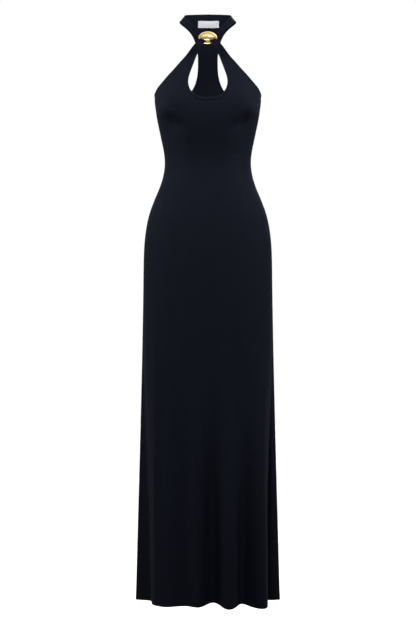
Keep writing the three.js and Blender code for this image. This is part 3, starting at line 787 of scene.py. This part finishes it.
def jersey_material(colours):
    """Dyed viscose jersey, knitted and washed: a dark matt cloth with a soft pale edge of fibres
    where it turns away, fine upright ribs of stitches and a slightly streaked shade."""
    material, tree, output = new_material("viscose_jersey")
    cloth_map = add_node(tree, "ShaderNodeUVMap", uv_map="cloth").outputs["UV"]
    place = add_node(tree, "ShaderNodeSeparateXYZ", {0: cloth_map})
    wale_turn = add_node(tree, "ShaderNodeMath", {0: place.outputs["X"], 1: math.pi / WALE},
                         operation="MULTIPLY")
    wale_wave = add_node(tree, "ShaderNodeMath", {0: wale_turn.outputs[0]}, operation="SINE")
    wale = add_node(tree, "ShaderNodeMath", {0: wale_wave.outputs[0]}, operation="ABSOLUTE").outputs[0]
    leaned = add_node(tree, "ShaderNodeMath", {0: wale, 1: 0.5 * WALE, 2: place.outputs["Y"]},
                      operation="MULTIPLY_ADD")
    course_turn = add_node(tree, "ShaderNodeMath", {0: leaned.outputs[0], 1: 2 * math.pi / COURSE},
                           operation="MULTIPLY")
    course = add_node(tree, "ShaderNodeMath", {0: course_turn.outputs[0]}, operation="SINE").outputs[0]
    loops = add_node(tree, "ShaderNodeMath", {0: course, 1: 0.35, 2: wale}, operation="MULTIPLY_ADD")
    knit = add_node(tree, "ShaderNodeBump",
                    {"Height": loops.outputs[0], "Strength": 0.5, "Distance": 0.12 * MM})
    stretched = add_node(tree, "ShaderNodeMapping",
                         {"Vector": cloth_map, "Scale": (1 / STREAK, 1 / STREAK_LENGTH, 1)})
    streaks = add_node(tree, "ShaderNodeTexNoise",
                       {"Vector": stretched.outputs[0], "Scale": 1.0, "Detail": 3.0, "Roughness": 0.6})
    streaked = add_node(tree, "ShaderNodeBump",
                        {"Height": streaks.outputs[0], "Strength": 0.35, "Distance": 0.5 * MM,
                         "Normal": knit.outputs[0]})
    mottled = add_node(tree, "ShaderNodeTexNoise",
                       {"Vector": cloth_map, "Scale": 28.0, "Detail": 4.0, "Roughness": 0.55})
    shade = add_node(tree, "ShaderNodeMix",
                     {"Factor": streaks.outputs[0], "A": (*colours.jersey_deep, 1),
                      "B": (*colours.jersey, 1)},
                     data_type="RGBA")
    roughness = add_node(tree, "ShaderNodeMapRange",
                         {"Value": mottled.outputs[0], "To Min": 0.72, "To Max": 0.9})
    surface = add_node(tree, "ShaderNodeBsdfPrincipled", {
        "Base Color": shade.outputs["Result"],
        "Roughness": roughness.outputs[0],
        "Specular IOR Level": 0.05,
        "Sheen Weight": 0.011,
        "Sheen Roughness": 0.3,
        "Sheen Tint": (*linear("#c4cce4"), 1),
        "Normal": streaked.outputs[0],
    })
    tree.links.new(surface.outputs[0], output.inputs["Surface"])
    return material


def gold_material(colours):
    """Cast zinc alloy, polished and plated in pale gold: a warm mirror, barely wavy from the
    polishing wheel, with hairline scratches."""
    material, tree, output = new_material("polished_gold_plate")
    place = add_node(tree, "ShaderNodeTexCoord").outputs["Object"]
    waves = add_node(tree, "ShaderNodeTexNoise", {"Vector": place, "Scale": 110.0, "Detail": 1.0})
    wavy = add_node(tree, "ShaderNodeBump",
                    {"Height": waves.outputs[0], "Strength": 0.25, "Distance": 0.6 * MM})
    hairs = add_node(tree, "ShaderNodeTexNoise", {"Vector": place, "Scale": 2600.0, "Detail": 2.0})
    roughness = add_node(tree, "ShaderNodeMapRange",
                         {"Value": hairs.outputs[0], "To Min": 0.09, "To Max": 0.2})
    tone = add_node(tree, "ShaderNodeMix",
                    {"Factor": waves.outputs[0], "A": (*colours.gold, 1), "B": (*colours.gold_deep, 1)},
                    data_type="RGBA")
    surface = add_node(tree, "ShaderNodeBsdfPrincipled", {
        "Base Color": tone.outputs["Result"],
        "Metallic": 1.0,
        "Roughness": roughness.outputs[0],
        "Normal": wavy.outputs[0],
    })
    tree.links.new(surface.outputs[0], output.inputs["Surface"])
    return material


# Ribs of the label's weft, and the thread's twist along a level or an upright line of sewing
WEFT, TWIST = 0.6 * MM, 1.0 * MM


def label_material(colours):
    """Woven polyester satin: white, with a soft shine and fine ribs of weft 0.6 mm apart."""
    material, tree, output = new_material("woven_label_satin")
    cloth_map = add_node(tree, "ShaderNodeUVMap", uv_map="cloth").outputs["UV"]
    place = add_node(tree, "ShaderNodeSeparateXYZ", {0: cloth_map})
    weft_turn = add_node(tree, "ShaderNodeMath", {0: place.outputs["Y"], 1: 2 * math.pi / WEFT},
                         operation="MULTIPLY")
    weft = add_node(tree, "ShaderNodeMath", {0: weft_turn.outputs[0]}, operation="SINE").outputs[0]
    floats = add_node(tree, "ShaderNodeMapping", {"Vector": cloth_map, "Scale": (250, 2600, 1)})
    grain = add_node(tree, "ShaderNodeTexNoise",
                     {"Vector": floats.outputs[0], "Scale": 1.0, "Detail": 2.0})
    relief = add_node(tree, "ShaderNodeMath", {0: weft, 1: 0.5, 2: grain.outputs[0]},
                      operation="MULTIPLY_ADD")
    bump = add_node(tree, "ShaderNodeBump",
                    {"Height": relief.outputs[0], "Strength": 0.4, "Distance": 0.1 * MM})
    tone = add_node(tree, "ShaderNodeMix",
                    {"Factor": grain.outputs[0], "A": (*colours.label, 1),
                     "B": (*linear("#cfd2da"), 1)},
                    data_type="RGBA")
    surface = add_node(tree, "ShaderNodeBsdfPrincipled", {
        "Base Color": tone.outputs["Result"],
        "Roughness": 0.42,
        "Specular IOR Level": 0.5,
        "Sheen Weight": 0.15,
        "Normal": bump.outputs[0],
    })
    tree.links.new(surface.outputs[0], output.inputs["Surface"])
    return material


def thread_material(name, colour):
    """Spun polyester sewing thread: a little smoother than the cloth, with a slanting twist whose
    grooves are painted darker, as painted shade. Along an axis the diagonal wave turns by ten radians a
    metre, times its scale."""
    material, tree, output = new_material(name)
    place = add_node(tree, "ShaderNodeTexCoord").outputs["Object"]
    wave_turn = 10
    twist = add_node(tree, "ShaderNodeTexWave",
                     {"Vector": place, "Scale": 2 * math.pi / (wave_turn * TWIST), "Distortion": 1.5},
                     bands_direction="DIAGONAL")
    bump = add_node(tree, "ShaderNodeBump",
                    {"Height": twist.outputs[1], "Strength": 0.4, "Distance": 0.08 * MM})
    # Painted shade: the twist's grooves, where the bump sinks, are painted 0.7 times as dark as the
    # thread
    painted_groove_shade = [0.7 * share for share in colour]
    tone = add_node(tree, "ShaderNodeMix",
                    {"Factor": twist.outputs[1], "A": (*painted_groove_shade, 1), "B": (*colour, 1)},
                    data_type="RGBA")
    surface = add_node(tree, "ShaderNodeBsdfPrincipled", {
        "Base Color": tone.outputs["Result"],
        "Roughness": 0.75,
        "Specular IOR Level": 0.1,
        "Normal": bump.outputs[0],
    })
    tree.links.new(surface.outputs[0], output.inputs["Surface"])
    return material


def paper_material(colour):
    """Matt paper sweep: an even pale floor with a faint tooth."""
    material, tree, output = new_material("matt_studio_paper")
    place = add_node(tree, "ShaderNodeTexCoord").outputs["Object"]
    tooth = add_node(tree, "ShaderNodeTexNoise", {"Vector": place, "Scale": 400.0})
    bump = add_node(tree, "ShaderNodeBump",
                    {"Height": tooth.outputs[0], "Strength": 0.1, "Distance": 0.2 * MM})
    surface = add_node(tree, "ShaderNodeBsdfPrincipled", {
        "Base Color": (*colour, 1),
        "Roughness": 0.9,
        "Specular IOR Level": 0.1,
        "Normal": bump.outputs[0],
    })
    tree.links.new(surface.outputs[0], output.inputs["Surface"])
    return material


def finished(name, maker, *values):
    """A material by name, made once."""
    return bpy.data.materials.get(name) or maker(*values)


def dress_piece(piece, material, replaces=()):
    """Gives a piece its material and slot, lets it ride on the dress and hides the solid it is for."""
    piece.data.materials.append(material)
    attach(piece, "root")
    for node in replaces:
        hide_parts(node)
    return piece


class DressSizes(PropertyGroup):
    """Thicknesses and the depth of the creases."""

    cloth: FloatProperty(name="Cloth", description="Thickness of the jersey", default=1.1 * MM,
                         min=0.5 * MM, max=1.6 * MM, unit="LENGTH")
    strap: FloatProperty(name="Neck strap", description="Thickness of a gathered neck strap",
                         default=2.3 * MM, min=1.8 * MM, max=2.4 * MM, unit="LENGTH")
    binding: FloatProperty(name="Binding", description="Width of the band round the keyhole",
                           default=6 * MM, min=4 * MM, max=8 * MM, unit="LENGTH")
    creases: FloatProperty(name="Creases", description="Depth of the creases, as a share of the usual",
                           default=1, min=0, max=1.5, subtype="FACTOR")


class DressColours(PropertyGroup):
    """Colours of the cloth, the metal and the label."""

    jersey: FloatVectorProperty(name="Jersey", description="The cloth's navy black", subtype="COLOR",
                                default=linear("#151823"), min=0, max=1)
    jersey_deep: FloatVectorProperty(name="Jersey, deep", description="The darker streaks of the knit",
                                     subtype="COLOR", default=linear("#10121b"), min=0, max=1)
    gold: FloatVectorProperty(name="Gold", description="The plate where it is bright", subtype="COLOR",
                              default=linear("#f5dda0"), min=0, max=1)
    gold_deep: FloatVectorProperty(name="Gold, deep", description="The plate where it is warm",
                                   subtype="COLOR", default=linear("#ebcf8f"), min=0, max=1)
    label: FloatVectorProperty(name="Label", description="The label's white satin", subtype="COLOR",
                               default=linear("#eceef4"), min=0, max=1)
    floor: FloatVectorProperty(name="Floor", description="The studio's pale paper", subtype="COLOR",
                               default=linear("#f4f4f4"), min=0, max=1)


def hem_lines(skin):
    """The hem's two lines of sewing, each from one side seam to the other."""
    rows = [skin.number.shape[1] - len(HEM_STEPS) + step for step in HEM_STITCH_STEPS]
    return [row_across(skin, row) for row in rows]


def row_across(skin, row):
    """The points of one row, from one end to the other across both halves."""
    return np.concatenate([skin.number[1, row, ::-1], skin.number[0, row, 1:]])


def make_panel(context, name, skin, sewn_rows, top_lines):
    """A panel's cloth, the sewing beside its turned edges and along its hem, and its cut."""
    colours = context.scene.dress_colours
    points, faces, source = wall(skin.points, skin.quads, 0.0, -skin.depth)
    panel = make_piece(f"{name}_cloth", points, faces, skin.uv[source])
    dress_piece(panel, finished("viscose_jersey", jersey_material, colours), [name])

    normals = vertex_normals(skin.points, skin.quads)
    edge_rows = np.flatnonzero(sewn_rows)
    lines = [skin.number[half][edge_rows, -1 - EDGE_STITCH_STEP] for half in (0, 1)]
    lines += top_lines + hem_lines(skin)
    threads = sewing(f"{name}_sewing", [(skin.points[line], normals[line]) for line in lines])


class DRESS_OT_front(Operator):
    """Makes the front from hem to halter arms, with its turned armholes, hem and sewing"""

    bl_idname = "dress.front"
    bl_label = "Front"

    def execute(self, context):
        sizes = context.scene.dress_sizes
        cloth_thick = sizes.cloth / MM
        rows, columns = front_rows(), 96

        def details(turn, z, shares, outer_gap):
            free = smooth((rows.outer[:, 1:] - UNDERARM + 2) / 4)
            seam = (1 - free) * bell(outer_gap, 1, SEAM_SPREAD)
            seat = smooth((z - RING_SEAT_FROM) / (RING_SEAT_TO - RING_SEAT_FROM))
            gathered = smooth((z - GATHER_FROM) / (GATHER_TO - GATHER_FROM))
            wander = 0.3 * np.sin(5 * shares + z / 17)
            ridges = 0.5 - 0.5 * np.cos(2 * math.pi * (GATHERS * shares + wander))
            above = z - HEM
            lift = (RING_SEAT_LIFT * seat - GATHER_DEPTH * gathered * ridges
                    + sizes.creases * crease_rise(FRONT, FRONT_CREASES, turn, z)
                    + free * turned_edge(outer_gap) - SEAM_SINK * seam + sewn_hem(above))
            return lift, cloth_thick + free * turned_depth(outer_gap) + hem_depth(above)

        outer_z = rows.outer[:, 1]
        make_panel(context, "front", panel_skin(FRONT, rows, columns, details),
                   (outer_z > UNDERARM) & (outer_z < ARM_SEWN_BELOW), [])
        return {"FINISHED"}


class DRESS_OT_back(Operator):
    """Makes the back from hem to nape band, with its racer strap, turned edges and sewing"""

    bl_idname = "dress.back"
    bl_label = "Back"

    def execute(self, context):
        sizes = context.scene.dress_sizes
        cloth_thick = sizes.cloth / MM
        rows, columns = back_rows(), 78

        def details(turn, z, shares, outer_gap):
            outer = rows.outer[:, 1:]
            seamed = (rows.outer[:, :1] > AT_SEAM).astype(float)
            free = 1 - seamed
            seam = seamed * bell(outer_gap, 1, SEAM_SPREAD)
            below_arm = seamed * (outer < RACER_TOP)
            unbent = rows.inner[:, 1:] - (rows.inner[:, 1:] - outer) * shares
            top_gap = np.abs(NAPE_TOP + (NECK_SIDE_TOP - NAPE_TOP) * shares - unbent)
            above = z - HEM
            lift = (sizes.creases * crease_rise(BACK, BACK_CREASES, turn, z)
                    + free * turned_edge(outer_gap) + turned_edge(top_gap)
                    - SEAM_SINK * seam + sewn_hem(above))
            allowance = below_arm * step_down(outer_gap, height=0.8, start=SIDE_ALLOWANCE, width=0.8)
            turned = np.maximum(free * turned_depth(outer_gap), turned_depth(top_gap))
            return lift, cloth_thick + turned + allowance + hem_depth(above)

        skin = panel_skin(BACK, rows, columns, details)
        make_panel(context, "back", skin,
                   (rows.outer[:, 0] < AT_SEAM) & (rows.outer[:, 1] < YOKE_SEWN_BELOW),
                   [row_across(skin, EDGE_STITCH_STEP)])
        return {"FINISHED"}


class DRESS_OT_binding(Operator):
    """Makes the folded band that is sewn round the keyhole's edge"""

    bl_idname = "dress.binding"
    bl_label = "Keyhole binding"

    def execute(self, context):
        sizes, colours = context.scene.dress_sizes, context.scene.dress_colours
        steps = 190
        edge = edge_places(FRONT, KEYHOLE_EDGE, steps)
        edge = edge[edge[:, 1] < BINDING_TOP]
        widened = sizes.binding / MM / BINDING_USUAL
        x = form_across(FRONT, edge[:, 0], edge[:, 1])
        line = np.column_stack([x, edge[:, 1]])
        line = np.vstack([line, (line[:-1] * (-1, 1))[::-1]])
        way = np.gradient(line, axis=0)
        way /= np.linalg.norm(way, axis=1)[:, None]
        length = np.concatenate([[0], np.cumsum(np.linalg.norm(np.diff(line, axis=0), axis=1))])
        fade = smooth((line[:, 1] - BINDING_TOP) / -BINDING_FADE)
        pulls = 0.12 * np.sin(length / 2.3 + 1.5 * np.sin(length / 9))
        section = BINDING_SECTION * (widened, 1)
        reach = section[:, 0] * (0.55 + 0.45 * fade[:, None])
        at = line[:, None] + np.stack([-way[:, 1], way[:, 0]], axis=-1)[:, None] * reach[..., None]
        outside = section[:, 1] > 0.3
        height = section[:, 1] * (0.25 + 0.75 * fade[:, None]) + np.where(outside, pulls[:, None], 0)
        seat = smooth((at[..., 1] - RING_SEAT_FROM) / (RING_SEAT_TO - RING_SEAT_FROM))
        turn = turn_at(FRONT, at[..., 0], at[..., 1])
        points = cloth(FRONT, turn, at[..., 1], RING_SEAT_LIFT * seat + height)
        across = np.concatenate([[0], np.cumsum(np.linalg.norm(np.diff(section, axis=0), axis=1))])
        uv = np.stack(np.broadcast_arrays(across, length[:, None]), axis=-1).reshape(-1, 2)
        rows, columns = points.shape[:2]
        quads = grid_quads(rows, columns, around=True)[:, ::-1]
        caps = [np.arange(columns)[::-1][None], (np.arange(columns) + (rows - 1) * columns)[None]]
        binding = make_piece("keyhole_binding_cloth", points.reshape(-1, 3), [quads, *caps], uv)
        jersey = finished("viscose_jersey", jersey_material, colours)
        dress_piece(binding, jersey, ["keyhole_binding"])

        sewn = 2
        beside = points[:, sewn:sewn + 2].reshape(-1, 3)
        normals = vertex_normals(beside, grid_quads(rows, 2))
        threads = sewing("binding_sewing", [(points[:, sewn], normals[::2])])
        return {"FINISHED"}


def form_across(face, turn, z):
    """How far from the middle the form is at a turn."""
    across = np.sin(turn * math.pi / 2) / form("width", z)
    ahead = np.cos(turn * math.pi / 2) / form(face.depth, z)
    power = form(face.power, z)
    return np.sin(turn * math.pi / 2) * (across**power + ahead**power) ** (-1 / power)


class DRESS_OT_neck_straps(Operator):
    """Makes both gathered neck straps, from under the ring's dome to the sides of the neck"""

    bl_idname = "dress.neck_straps"
    bl_label = "Neck straps"

    def execute(self, context):
        sizes, colours = context.scene.dress_sizes, context.scene.dress_colours
        steps, columns = 140, 56
        thick = sizes.strap / MM
        share = np.linspace(0, 1, steps + 1)
        even = np.linspace(0, 1, columns + 1)
        crowded_to_edges = 0.5 - 0.5 * np.cos(np.linspace(0, math.pi, columns + 1))
        across = 0.6 * crowded_to_edges + 0.4 * even
        edges = []
        for x, z in ((0, 1), (2, 3)):
            turn = turn_at(FRONT, NECK_STRAP[:, x], NECK_STRAP[:, z]) * TURN_MM
            edge = np.column_stack([turn, NECK_STRAP[:, z], NECK_STRAP[:, 4]])
            edges.append(curve_through(edge, share))
        low, high = edges
        place = low[:, None] + (high - low)[:, None] * across[None, :, None]
        for name, side in (("left", 1), ("right", -1)):
            folds = np.zeros(place.shape[:2])
            for middle, depth, width, reach in STRAP_GATHERS:
                drift = middle + 0.03 * side * np.sin(4 * share + 9 * middle)[:, None]
                grown = 1 - smooth((share[:, None] / reach - 0.35) / 0.65)
                folds += depth * grown * bell(across - drift, 1, width)
            turn = side * place[..., 0] / TURN_MM
            base = cloth(FRONT, turn, place[..., 1], place[..., 2])
            width = np.linalg.norm(np.diff(base, axis=1), axis=2)
            along = np.hstack([np.zeros((steps + 1, 1)), np.cumsum(width, axis=1)])
            gap = np.minimum(along, along[:, -1:] - along)
            rounded = rounded_off(gap, depth=0.9, reach=1.8)
            points = cloth(FRONT, turn, place[..., 1], place[..., 2] - folds - rounded)
            quads = grid_quads(steps + 1, columns + 1)
            if side < 0:
                quads = quads[:, ::-1]
            middle_steps = np.linalg.norm(np.diff(points[:, columns // 2], axis=0), axis=1)
            down = np.concatenate([[0], np.cumsum(middle_steps)])
            uv = np.stack(np.broadcast_arrays(along, down[:, None]), axis=-1).reshape(-1, 2)
            inner = (folds - thick + 0.6 * rounded).ravel()
            skin = points.reshape(-1, 3)
            thinnest = 0.7
            wall_points, faces, source = wall(skin, quads, 0.0, np.minimum(inner, -thinnest))
            strap = make_piece(f"neck_strap_{name}_cloth", wall_points, faces, uv[source])
            jersey = finished("viscose_jersey", jersey_material, colours)
            dress_piece(strap, jersey, [f"neck_strap_{name}"])
        return {"FINISHED"}


def lathe_skin(radius, height, around, half_width, half_height, back, middle):
    """An oval dome about the line of sight: a profile of radius and height carried round an
    ellipse, and closed by a point at the front and one at the back."""
    angle = np.linspace(0, 2 * math.pi, around, endpoint=False)
    x = np.outer(radius, np.cos(angle)) * half_width
    z = np.outer(radius, np.sin(angle)) * half_height + middle
    y = np.broadcast_to((back - height)[:, None], x.shape)
    points = np.stack([x, y, z], axis=-1).reshape(-1, 3)
    poles = np.array([(0, back - height[0], middle), (0, back - height[-1], middle)])
    quads = grid_quads(len(radius), around, around=True)[:, ::-1]
    number = len(points)
    first = np.arange(around)
    last = first + (len(radius) - 1) * around
    fans = np.vstack([
        np.column_stack([np.full(around, number), np.roll(first, -1), first]),
        np.column_stack([np.full(around, number + 1), last, np.roll(last, -1)]),
    ])
    return np.vstack([points, poles]), quads, fans


class DRESS_OT_ring(Operator):
    """Makes the cast ring: its oval rim, the dome over the middle and the collar between them"""

    bl_idname = "dress.ring"
    bl_label = "Cast ring"

    def execute(self, context):
        colours = context.scene.dress_colours
        around, sides = 160, 28
        angle = np.linspace(0, 2 * math.pi, around, endpoint=False)[:, None]
        section = np.linspace(0, 2 * math.pi, sides, endpoint=False)[None]
        inset = RIM / 2 * (1 - filled_out(np.cos(section), RIM_ROUND))
        y = RIM_BACK - RIM_THICK / 2 + RIM_THICK / 2 * np.sin(section) + 0 * angle
        x = (RING_WIDTH / 2 - inset) * np.cos(angle)
        z = RING_Z + (RING_HEIGHT / 2 - inset) * np.sin(angle)
        rim_quads = grid_quads(around, sides, around=True, down=True)[:, ::-1]
        rim = (np.stack([x, y, z], axis=-1).reshape(-1, 3), rim_quads)

        # The dome: a flat back, a small rounded edge and a crown fuller than a quarter round
        rise = np.linspace(0, math.pi / 2, 26)[:-1]
        radius = np.concatenate([[0.5, 0.93, 0.985], np.cos(rise) ** 0.9])
        height = np.concatenate([[0, 0, 0.15], DOME_RISE * (0.05 + 0.95 * np.sin(rise))])
        dome_points, dome_quads, dome_fans = lathe_skin(
            radius, height, 120, DOME_WIDTH / 2, DOME_HEIGHT / 2, DOME_BACK, RING_Z)
        points, quads = joined([rim, ring_collar(), (dome_points, dome_quads)])
        fans = dome_fans + len(points) - len(dome_points)
        ring = make_piece("cast_ring", points, [quads, fans])
        gold = finished("polished_gold_plate", gold_material, colours)
        dress_piece(ring, gold, ["buckle"])
        return {"FINISHED"}


def ring_collar():
    """The band of an ellipse, open below, that joins the rim to the dome: an oblong section with
    rounded corners, carried round from one end of the arc to the other and closed at both."""
    steps, sides = 90, 16
    angle = np.linspace(COLLAR_START, math.pi - COLLAR_START, steps)[:, None]
    corner = np.linspace(0, 2 * math.pi, sides, endpoint=False)[None]
    inset = COLLAR_WALL / 2 * (1 - filled_out(np.cos(corner), COLLAR_ROUND))
    back, front = RIM_BACK - RIM_THICK / 2, DOME_BACK - 1
    y = (back + front) / 2 + (back - front) / 2 * filled_out(np.sin(corner), COLLAR_ROUND)
    x = (COLLAR_WIDTH / 2 - inset) * np.cos(angle)
    z = RING_Z + (COLLAR_HEIGHT / 2 - inset) * np.sin(angle)
    points = np.stack([x, y + 0 * angle, z], axis=-1).reshape(-1, 3)
    quads = grid_quads(steps, sides, around=True)[:, ::-1]
    pair = np.arange(sides // 2 - 1)
    cap = np.column_stack([pair, sides - 1 - pair, sides - 2 - pair, pair + 1])
    return points, np.vstack([quads, cap, cap[:, ::-1] + (steps - 1) * sides])


class DRESS_OT_label(Operator):
    """Makes the bare woven label inside the nape band, with its folded ends and sewing"""

    bl_idname = "dress.label"
    bl_label = "Label"

    def execute(self, context):
        colours = context.scene.dress_colours
        columns, rows = 90, 34
        across = np.linspace(-0.5, 0.5, columns + 1)[None] * LABEL_WIDTH
        up = np.linspace(0.5, -0.5, rows + 1)[:, None] * LABEL_HEIGHT
        x, z = LABEL_X + across + 0 * up, LABEL_Z + up + 0 * across
        turn = turn_at(BACK, x, z)
        end_gap = LABEL_WIDTH / 2 - np.abs(across) + 0 * up
        long_gap = LABEL_HEIGHT / 2 - np.abs(up) + 0 * across
        slack = 0.3 * np.sin(math.pi * (x - LABEL_X + LABEL_WIDTH / 2) / LABEL_WIDTH) * np.cos(up / 5)
        skin = cloth(BACK, turn, z, -LABEL_GAP - np.maximum(0, slack))
        folded = step_down(end_gap, height=0.35, start=LABEL_FOLD, width=0.7)
        sewn = bell(end_gap - LABEL_SEWN, height=0.25, width=0.5)
        selvedge = step_down(long_gap, height=0.12, start=1.2, width=0.5)
        inner = -(LABEL_THICK + folded - sewn + selvedge)
        quads = grid_quads(rows + 1, columns + 1)
        uv = np.stack([across + 0 * up, up + 0 * across], axis=-1).reshape(-1, 2)
        points, faces, source = wall(skin.reshape(-1, 3), quads[:, ::-1], 0.0, inner.ravel(), rim=0.2)
        label = make_piece("nape_label_satin", points, faces, uv[source])
        satin = finished("woven_label_satin", label_material, colours)
        dress_piece(label, satin, ["label"])

        normals = -vertex_normals(skin.reshape(-1, 3), quads[:, ::-1])
        face = skin.reshape(-1, 3) + normals * -inner.ravel()[:, None]
        number = np.arange(face.shape[0]).reshape(rows + 1, columns + 1)
        inset = round(LABEL_SEWN / LABEL_WIDTH * columns)
        lines = [number[1:-1, inset], number[1:-1, -1 - inset]]
        threads = sewing(
            "label_sewing", [(face[line], normals[line]) for line in lines],
            thread="white_thread", colour="#f4f5f8", slot="satin_label",
            length=LABEL_STITCH_LENGTH, pitch=LABEL_STITCH_PITCH, thickness=LABEL_THREAD)
        return {"FINISHED"}


def soft_light(name, place, target, width, height, power):
    """A white soft box that faces a point and that the camera doesn't see."""
    light = bpy.data.lights.new(name, "AREA")
    light.shape = "RECTANGLE"
    light.size, light.size_y = width, height
    light.energy = power
    box = bpy.data.objects.new(name, light)
    box.location = place
    box.rotation_euler = (Vector(target) - Vector(place)).to_track_quat("-Z", "Y").to_euler()
    box.visible_camera = False
    bpy.context.scene.collection.objects.link(box)
    return box


def reach_of(box, piece, state):
    """Lets a light reach one piece alone (INCLUDE), or every piece but that one (EXCLUDE)."""
    group = bpy.data.collections.new(f"{box.name}_reach")
    group.objects.link(piece)
    group.collection_objects[0].light_linking.link_state = state
    box.light_linking.receiver_collection = group


def studio_world():
    """Soft studio air: a little light from below and more from above, a bright room for what is
    polished, and plain white where the camera sees it."""
    world = bpy.data.worlds.new("studio_air")
    world.use_nodes = True
    tree = world.node_tree
    tree.nodes.clear()
    way = add_node(tree, "ShaderNodeTexCoord").outputs["Generated"]
    place = add_node(tree, "ShaderNodeSeparateXYZ", {0: way})
    air, room = (
        add_node(tree, "ShaderNodeMapRange", {"Value": place.outputs["Z"], **levels}).outputs[0]
        for levels in (AIR, ROOM)
    )
    air, room, white = (
        add_node(tree, "ShaderNodeBackground", {"Color": (1, 1, 1, 1), "Strength": strength})
        for strength in (air, room, 1.0)
    )
    path = add_node(tree, "ShaderNodeLightPath")
    polished = add_node(tree, "ShaderNodeMixShader",
                        {0: path.outputs["Is Glossy Ray"], 1: air.outputs[0], 2: room.outputs[0]})
    mixed = add_node(tree, "ShaderNodeMixShader",
                     {0: path.outputs["Is Camera Ray"], 1: polished.outputs[0], 2: white.outputs[0]})
    add_node(tree, "ShaderNodeOutputWorld", {"Surface": mixed.outputs[0]})
    bpy.context.scene.world = world


def floor_sun(floor):
    """An even light from straight above that reaches the floor alone, so that the floor is as pale
    as the air behind it from every side."""
    sun = bpy.data.objects.new("floor_sun", bpy.data.lights.new("floor_sun", "SUN"))
    sun.data.energy = FLOOR_SUN
    lit = bpy.data.collections.new("lit_floor")
    lit.objects.link(floor)
    sun.light_linking.receiver_collection = lit
    sun.light_linking.blocker_collection = lit
    bpy.context.scene.collection.objects.link(sun)


class DRESS_OT_stage(Operator):
    """Makes the pale floor, the soft light and the camera"""

    bl_idname = "dress.stage"
    bl_label = "Stage"

    def execute(self, context):
        scene, colours = context.scene, context.scene.dress_colours
        ring = scene.objects.get("cast_ring")
        if ring is None:
            raise RuntimeError("the stage is made after the cast ring, whose lights it sets")
        corners = np.array([(-1, -1), (1, -1), (1, 1), (-1, 1)]) * float(FLOOR_CORNER)
        floor_points = np.column_stack([corners, np.full(4, FLOOR_HEIGHT)])
        floor = make_piece("studio_floor", floor_points, np.array([[0, 1, 2, 3]]))
        floor.data.materials.append(paper_material(colours.floor))
        floor.visible_diffuse = False
        floor.visible_glossy = False
        floor_sun(floor)

        for box in DRESS_BOXES:
            reach_of(soft_light(*box), ring, "EXCLUDE")
        for box in RING_BOXES:
            reach_of(soft_light(*box), ring, "INCLUDE")
        studio_world()

        camera = bpy.data.objects.new("photo_camera", bpy.data.cameras.new("photo_camera"))
        camera.data.lens = LENS
        camera.data.sensor_width = CAMERA_FRAME
        camera.data.clip_end = VIEW_END
        camera.location = (CAMERA_X * MM, -CAMERA_BACK * MM, CAMERA_HEIGHT * MM)
        camera.rotation_euler = (math.pi / 2, 0, 0)
        scene.collection.objects.link(camera)
        scene.camera = camera
        scene.view_settings.view_transform = "Standard"
        return {"FINISHED"}


PIECES = (
    DRESS_OT_ring,
    DRESS_OT_neck_straps,
    DRESS_OT_front,
    DRESS_OT_back,
    DRESS_OT_binding,
    DRESS_OT_label,
    DRESS_OT_stage,
)


class DRESS_PT_pieces(Panel):
    """Lists the pieces, sizes and colours of the dress"""

    bl_label = "Halter maxi dress"
    bl_space_type = "VIEW_3D"
    bl_region_type = "UI"
    bl_category = "Dress"

    def draw(self, context):
        layout = self.layout
        for piece in PIECES:
            layout.operator(piece.bl_idname)
        for group in (context.scene.dress_sizes, context.scene.dress_colours):
            for name in group.__annotations__:
                layout.prop(group, name)


CLASSES = (DressSizes, DressColours, *PIECES, DRESS_PT_pieces)


def register():
    for kind in CLASSES:
        bpy.utils.register_class(kind)
    bpy.types.Scene.dress_sizes = PointerProperty(type=DressSizes)
    bpy.types.Scene.dress_colours = PointerProperty(type=DressColours)


def unregister():
    del bpy.types.Scene.dress_colours
    del bpy.types.Scene.dress_sizes
    for kind in reversed(CLASSES):
        bpy.utils.unregister_class(kind)


def main():
    register()
    for piece in PIECES:
        group, name = piece.bl_idname.split(".")
        getattr(getattr(bpy.ops, group), name)()


if __name__ == "__main__":
    main()
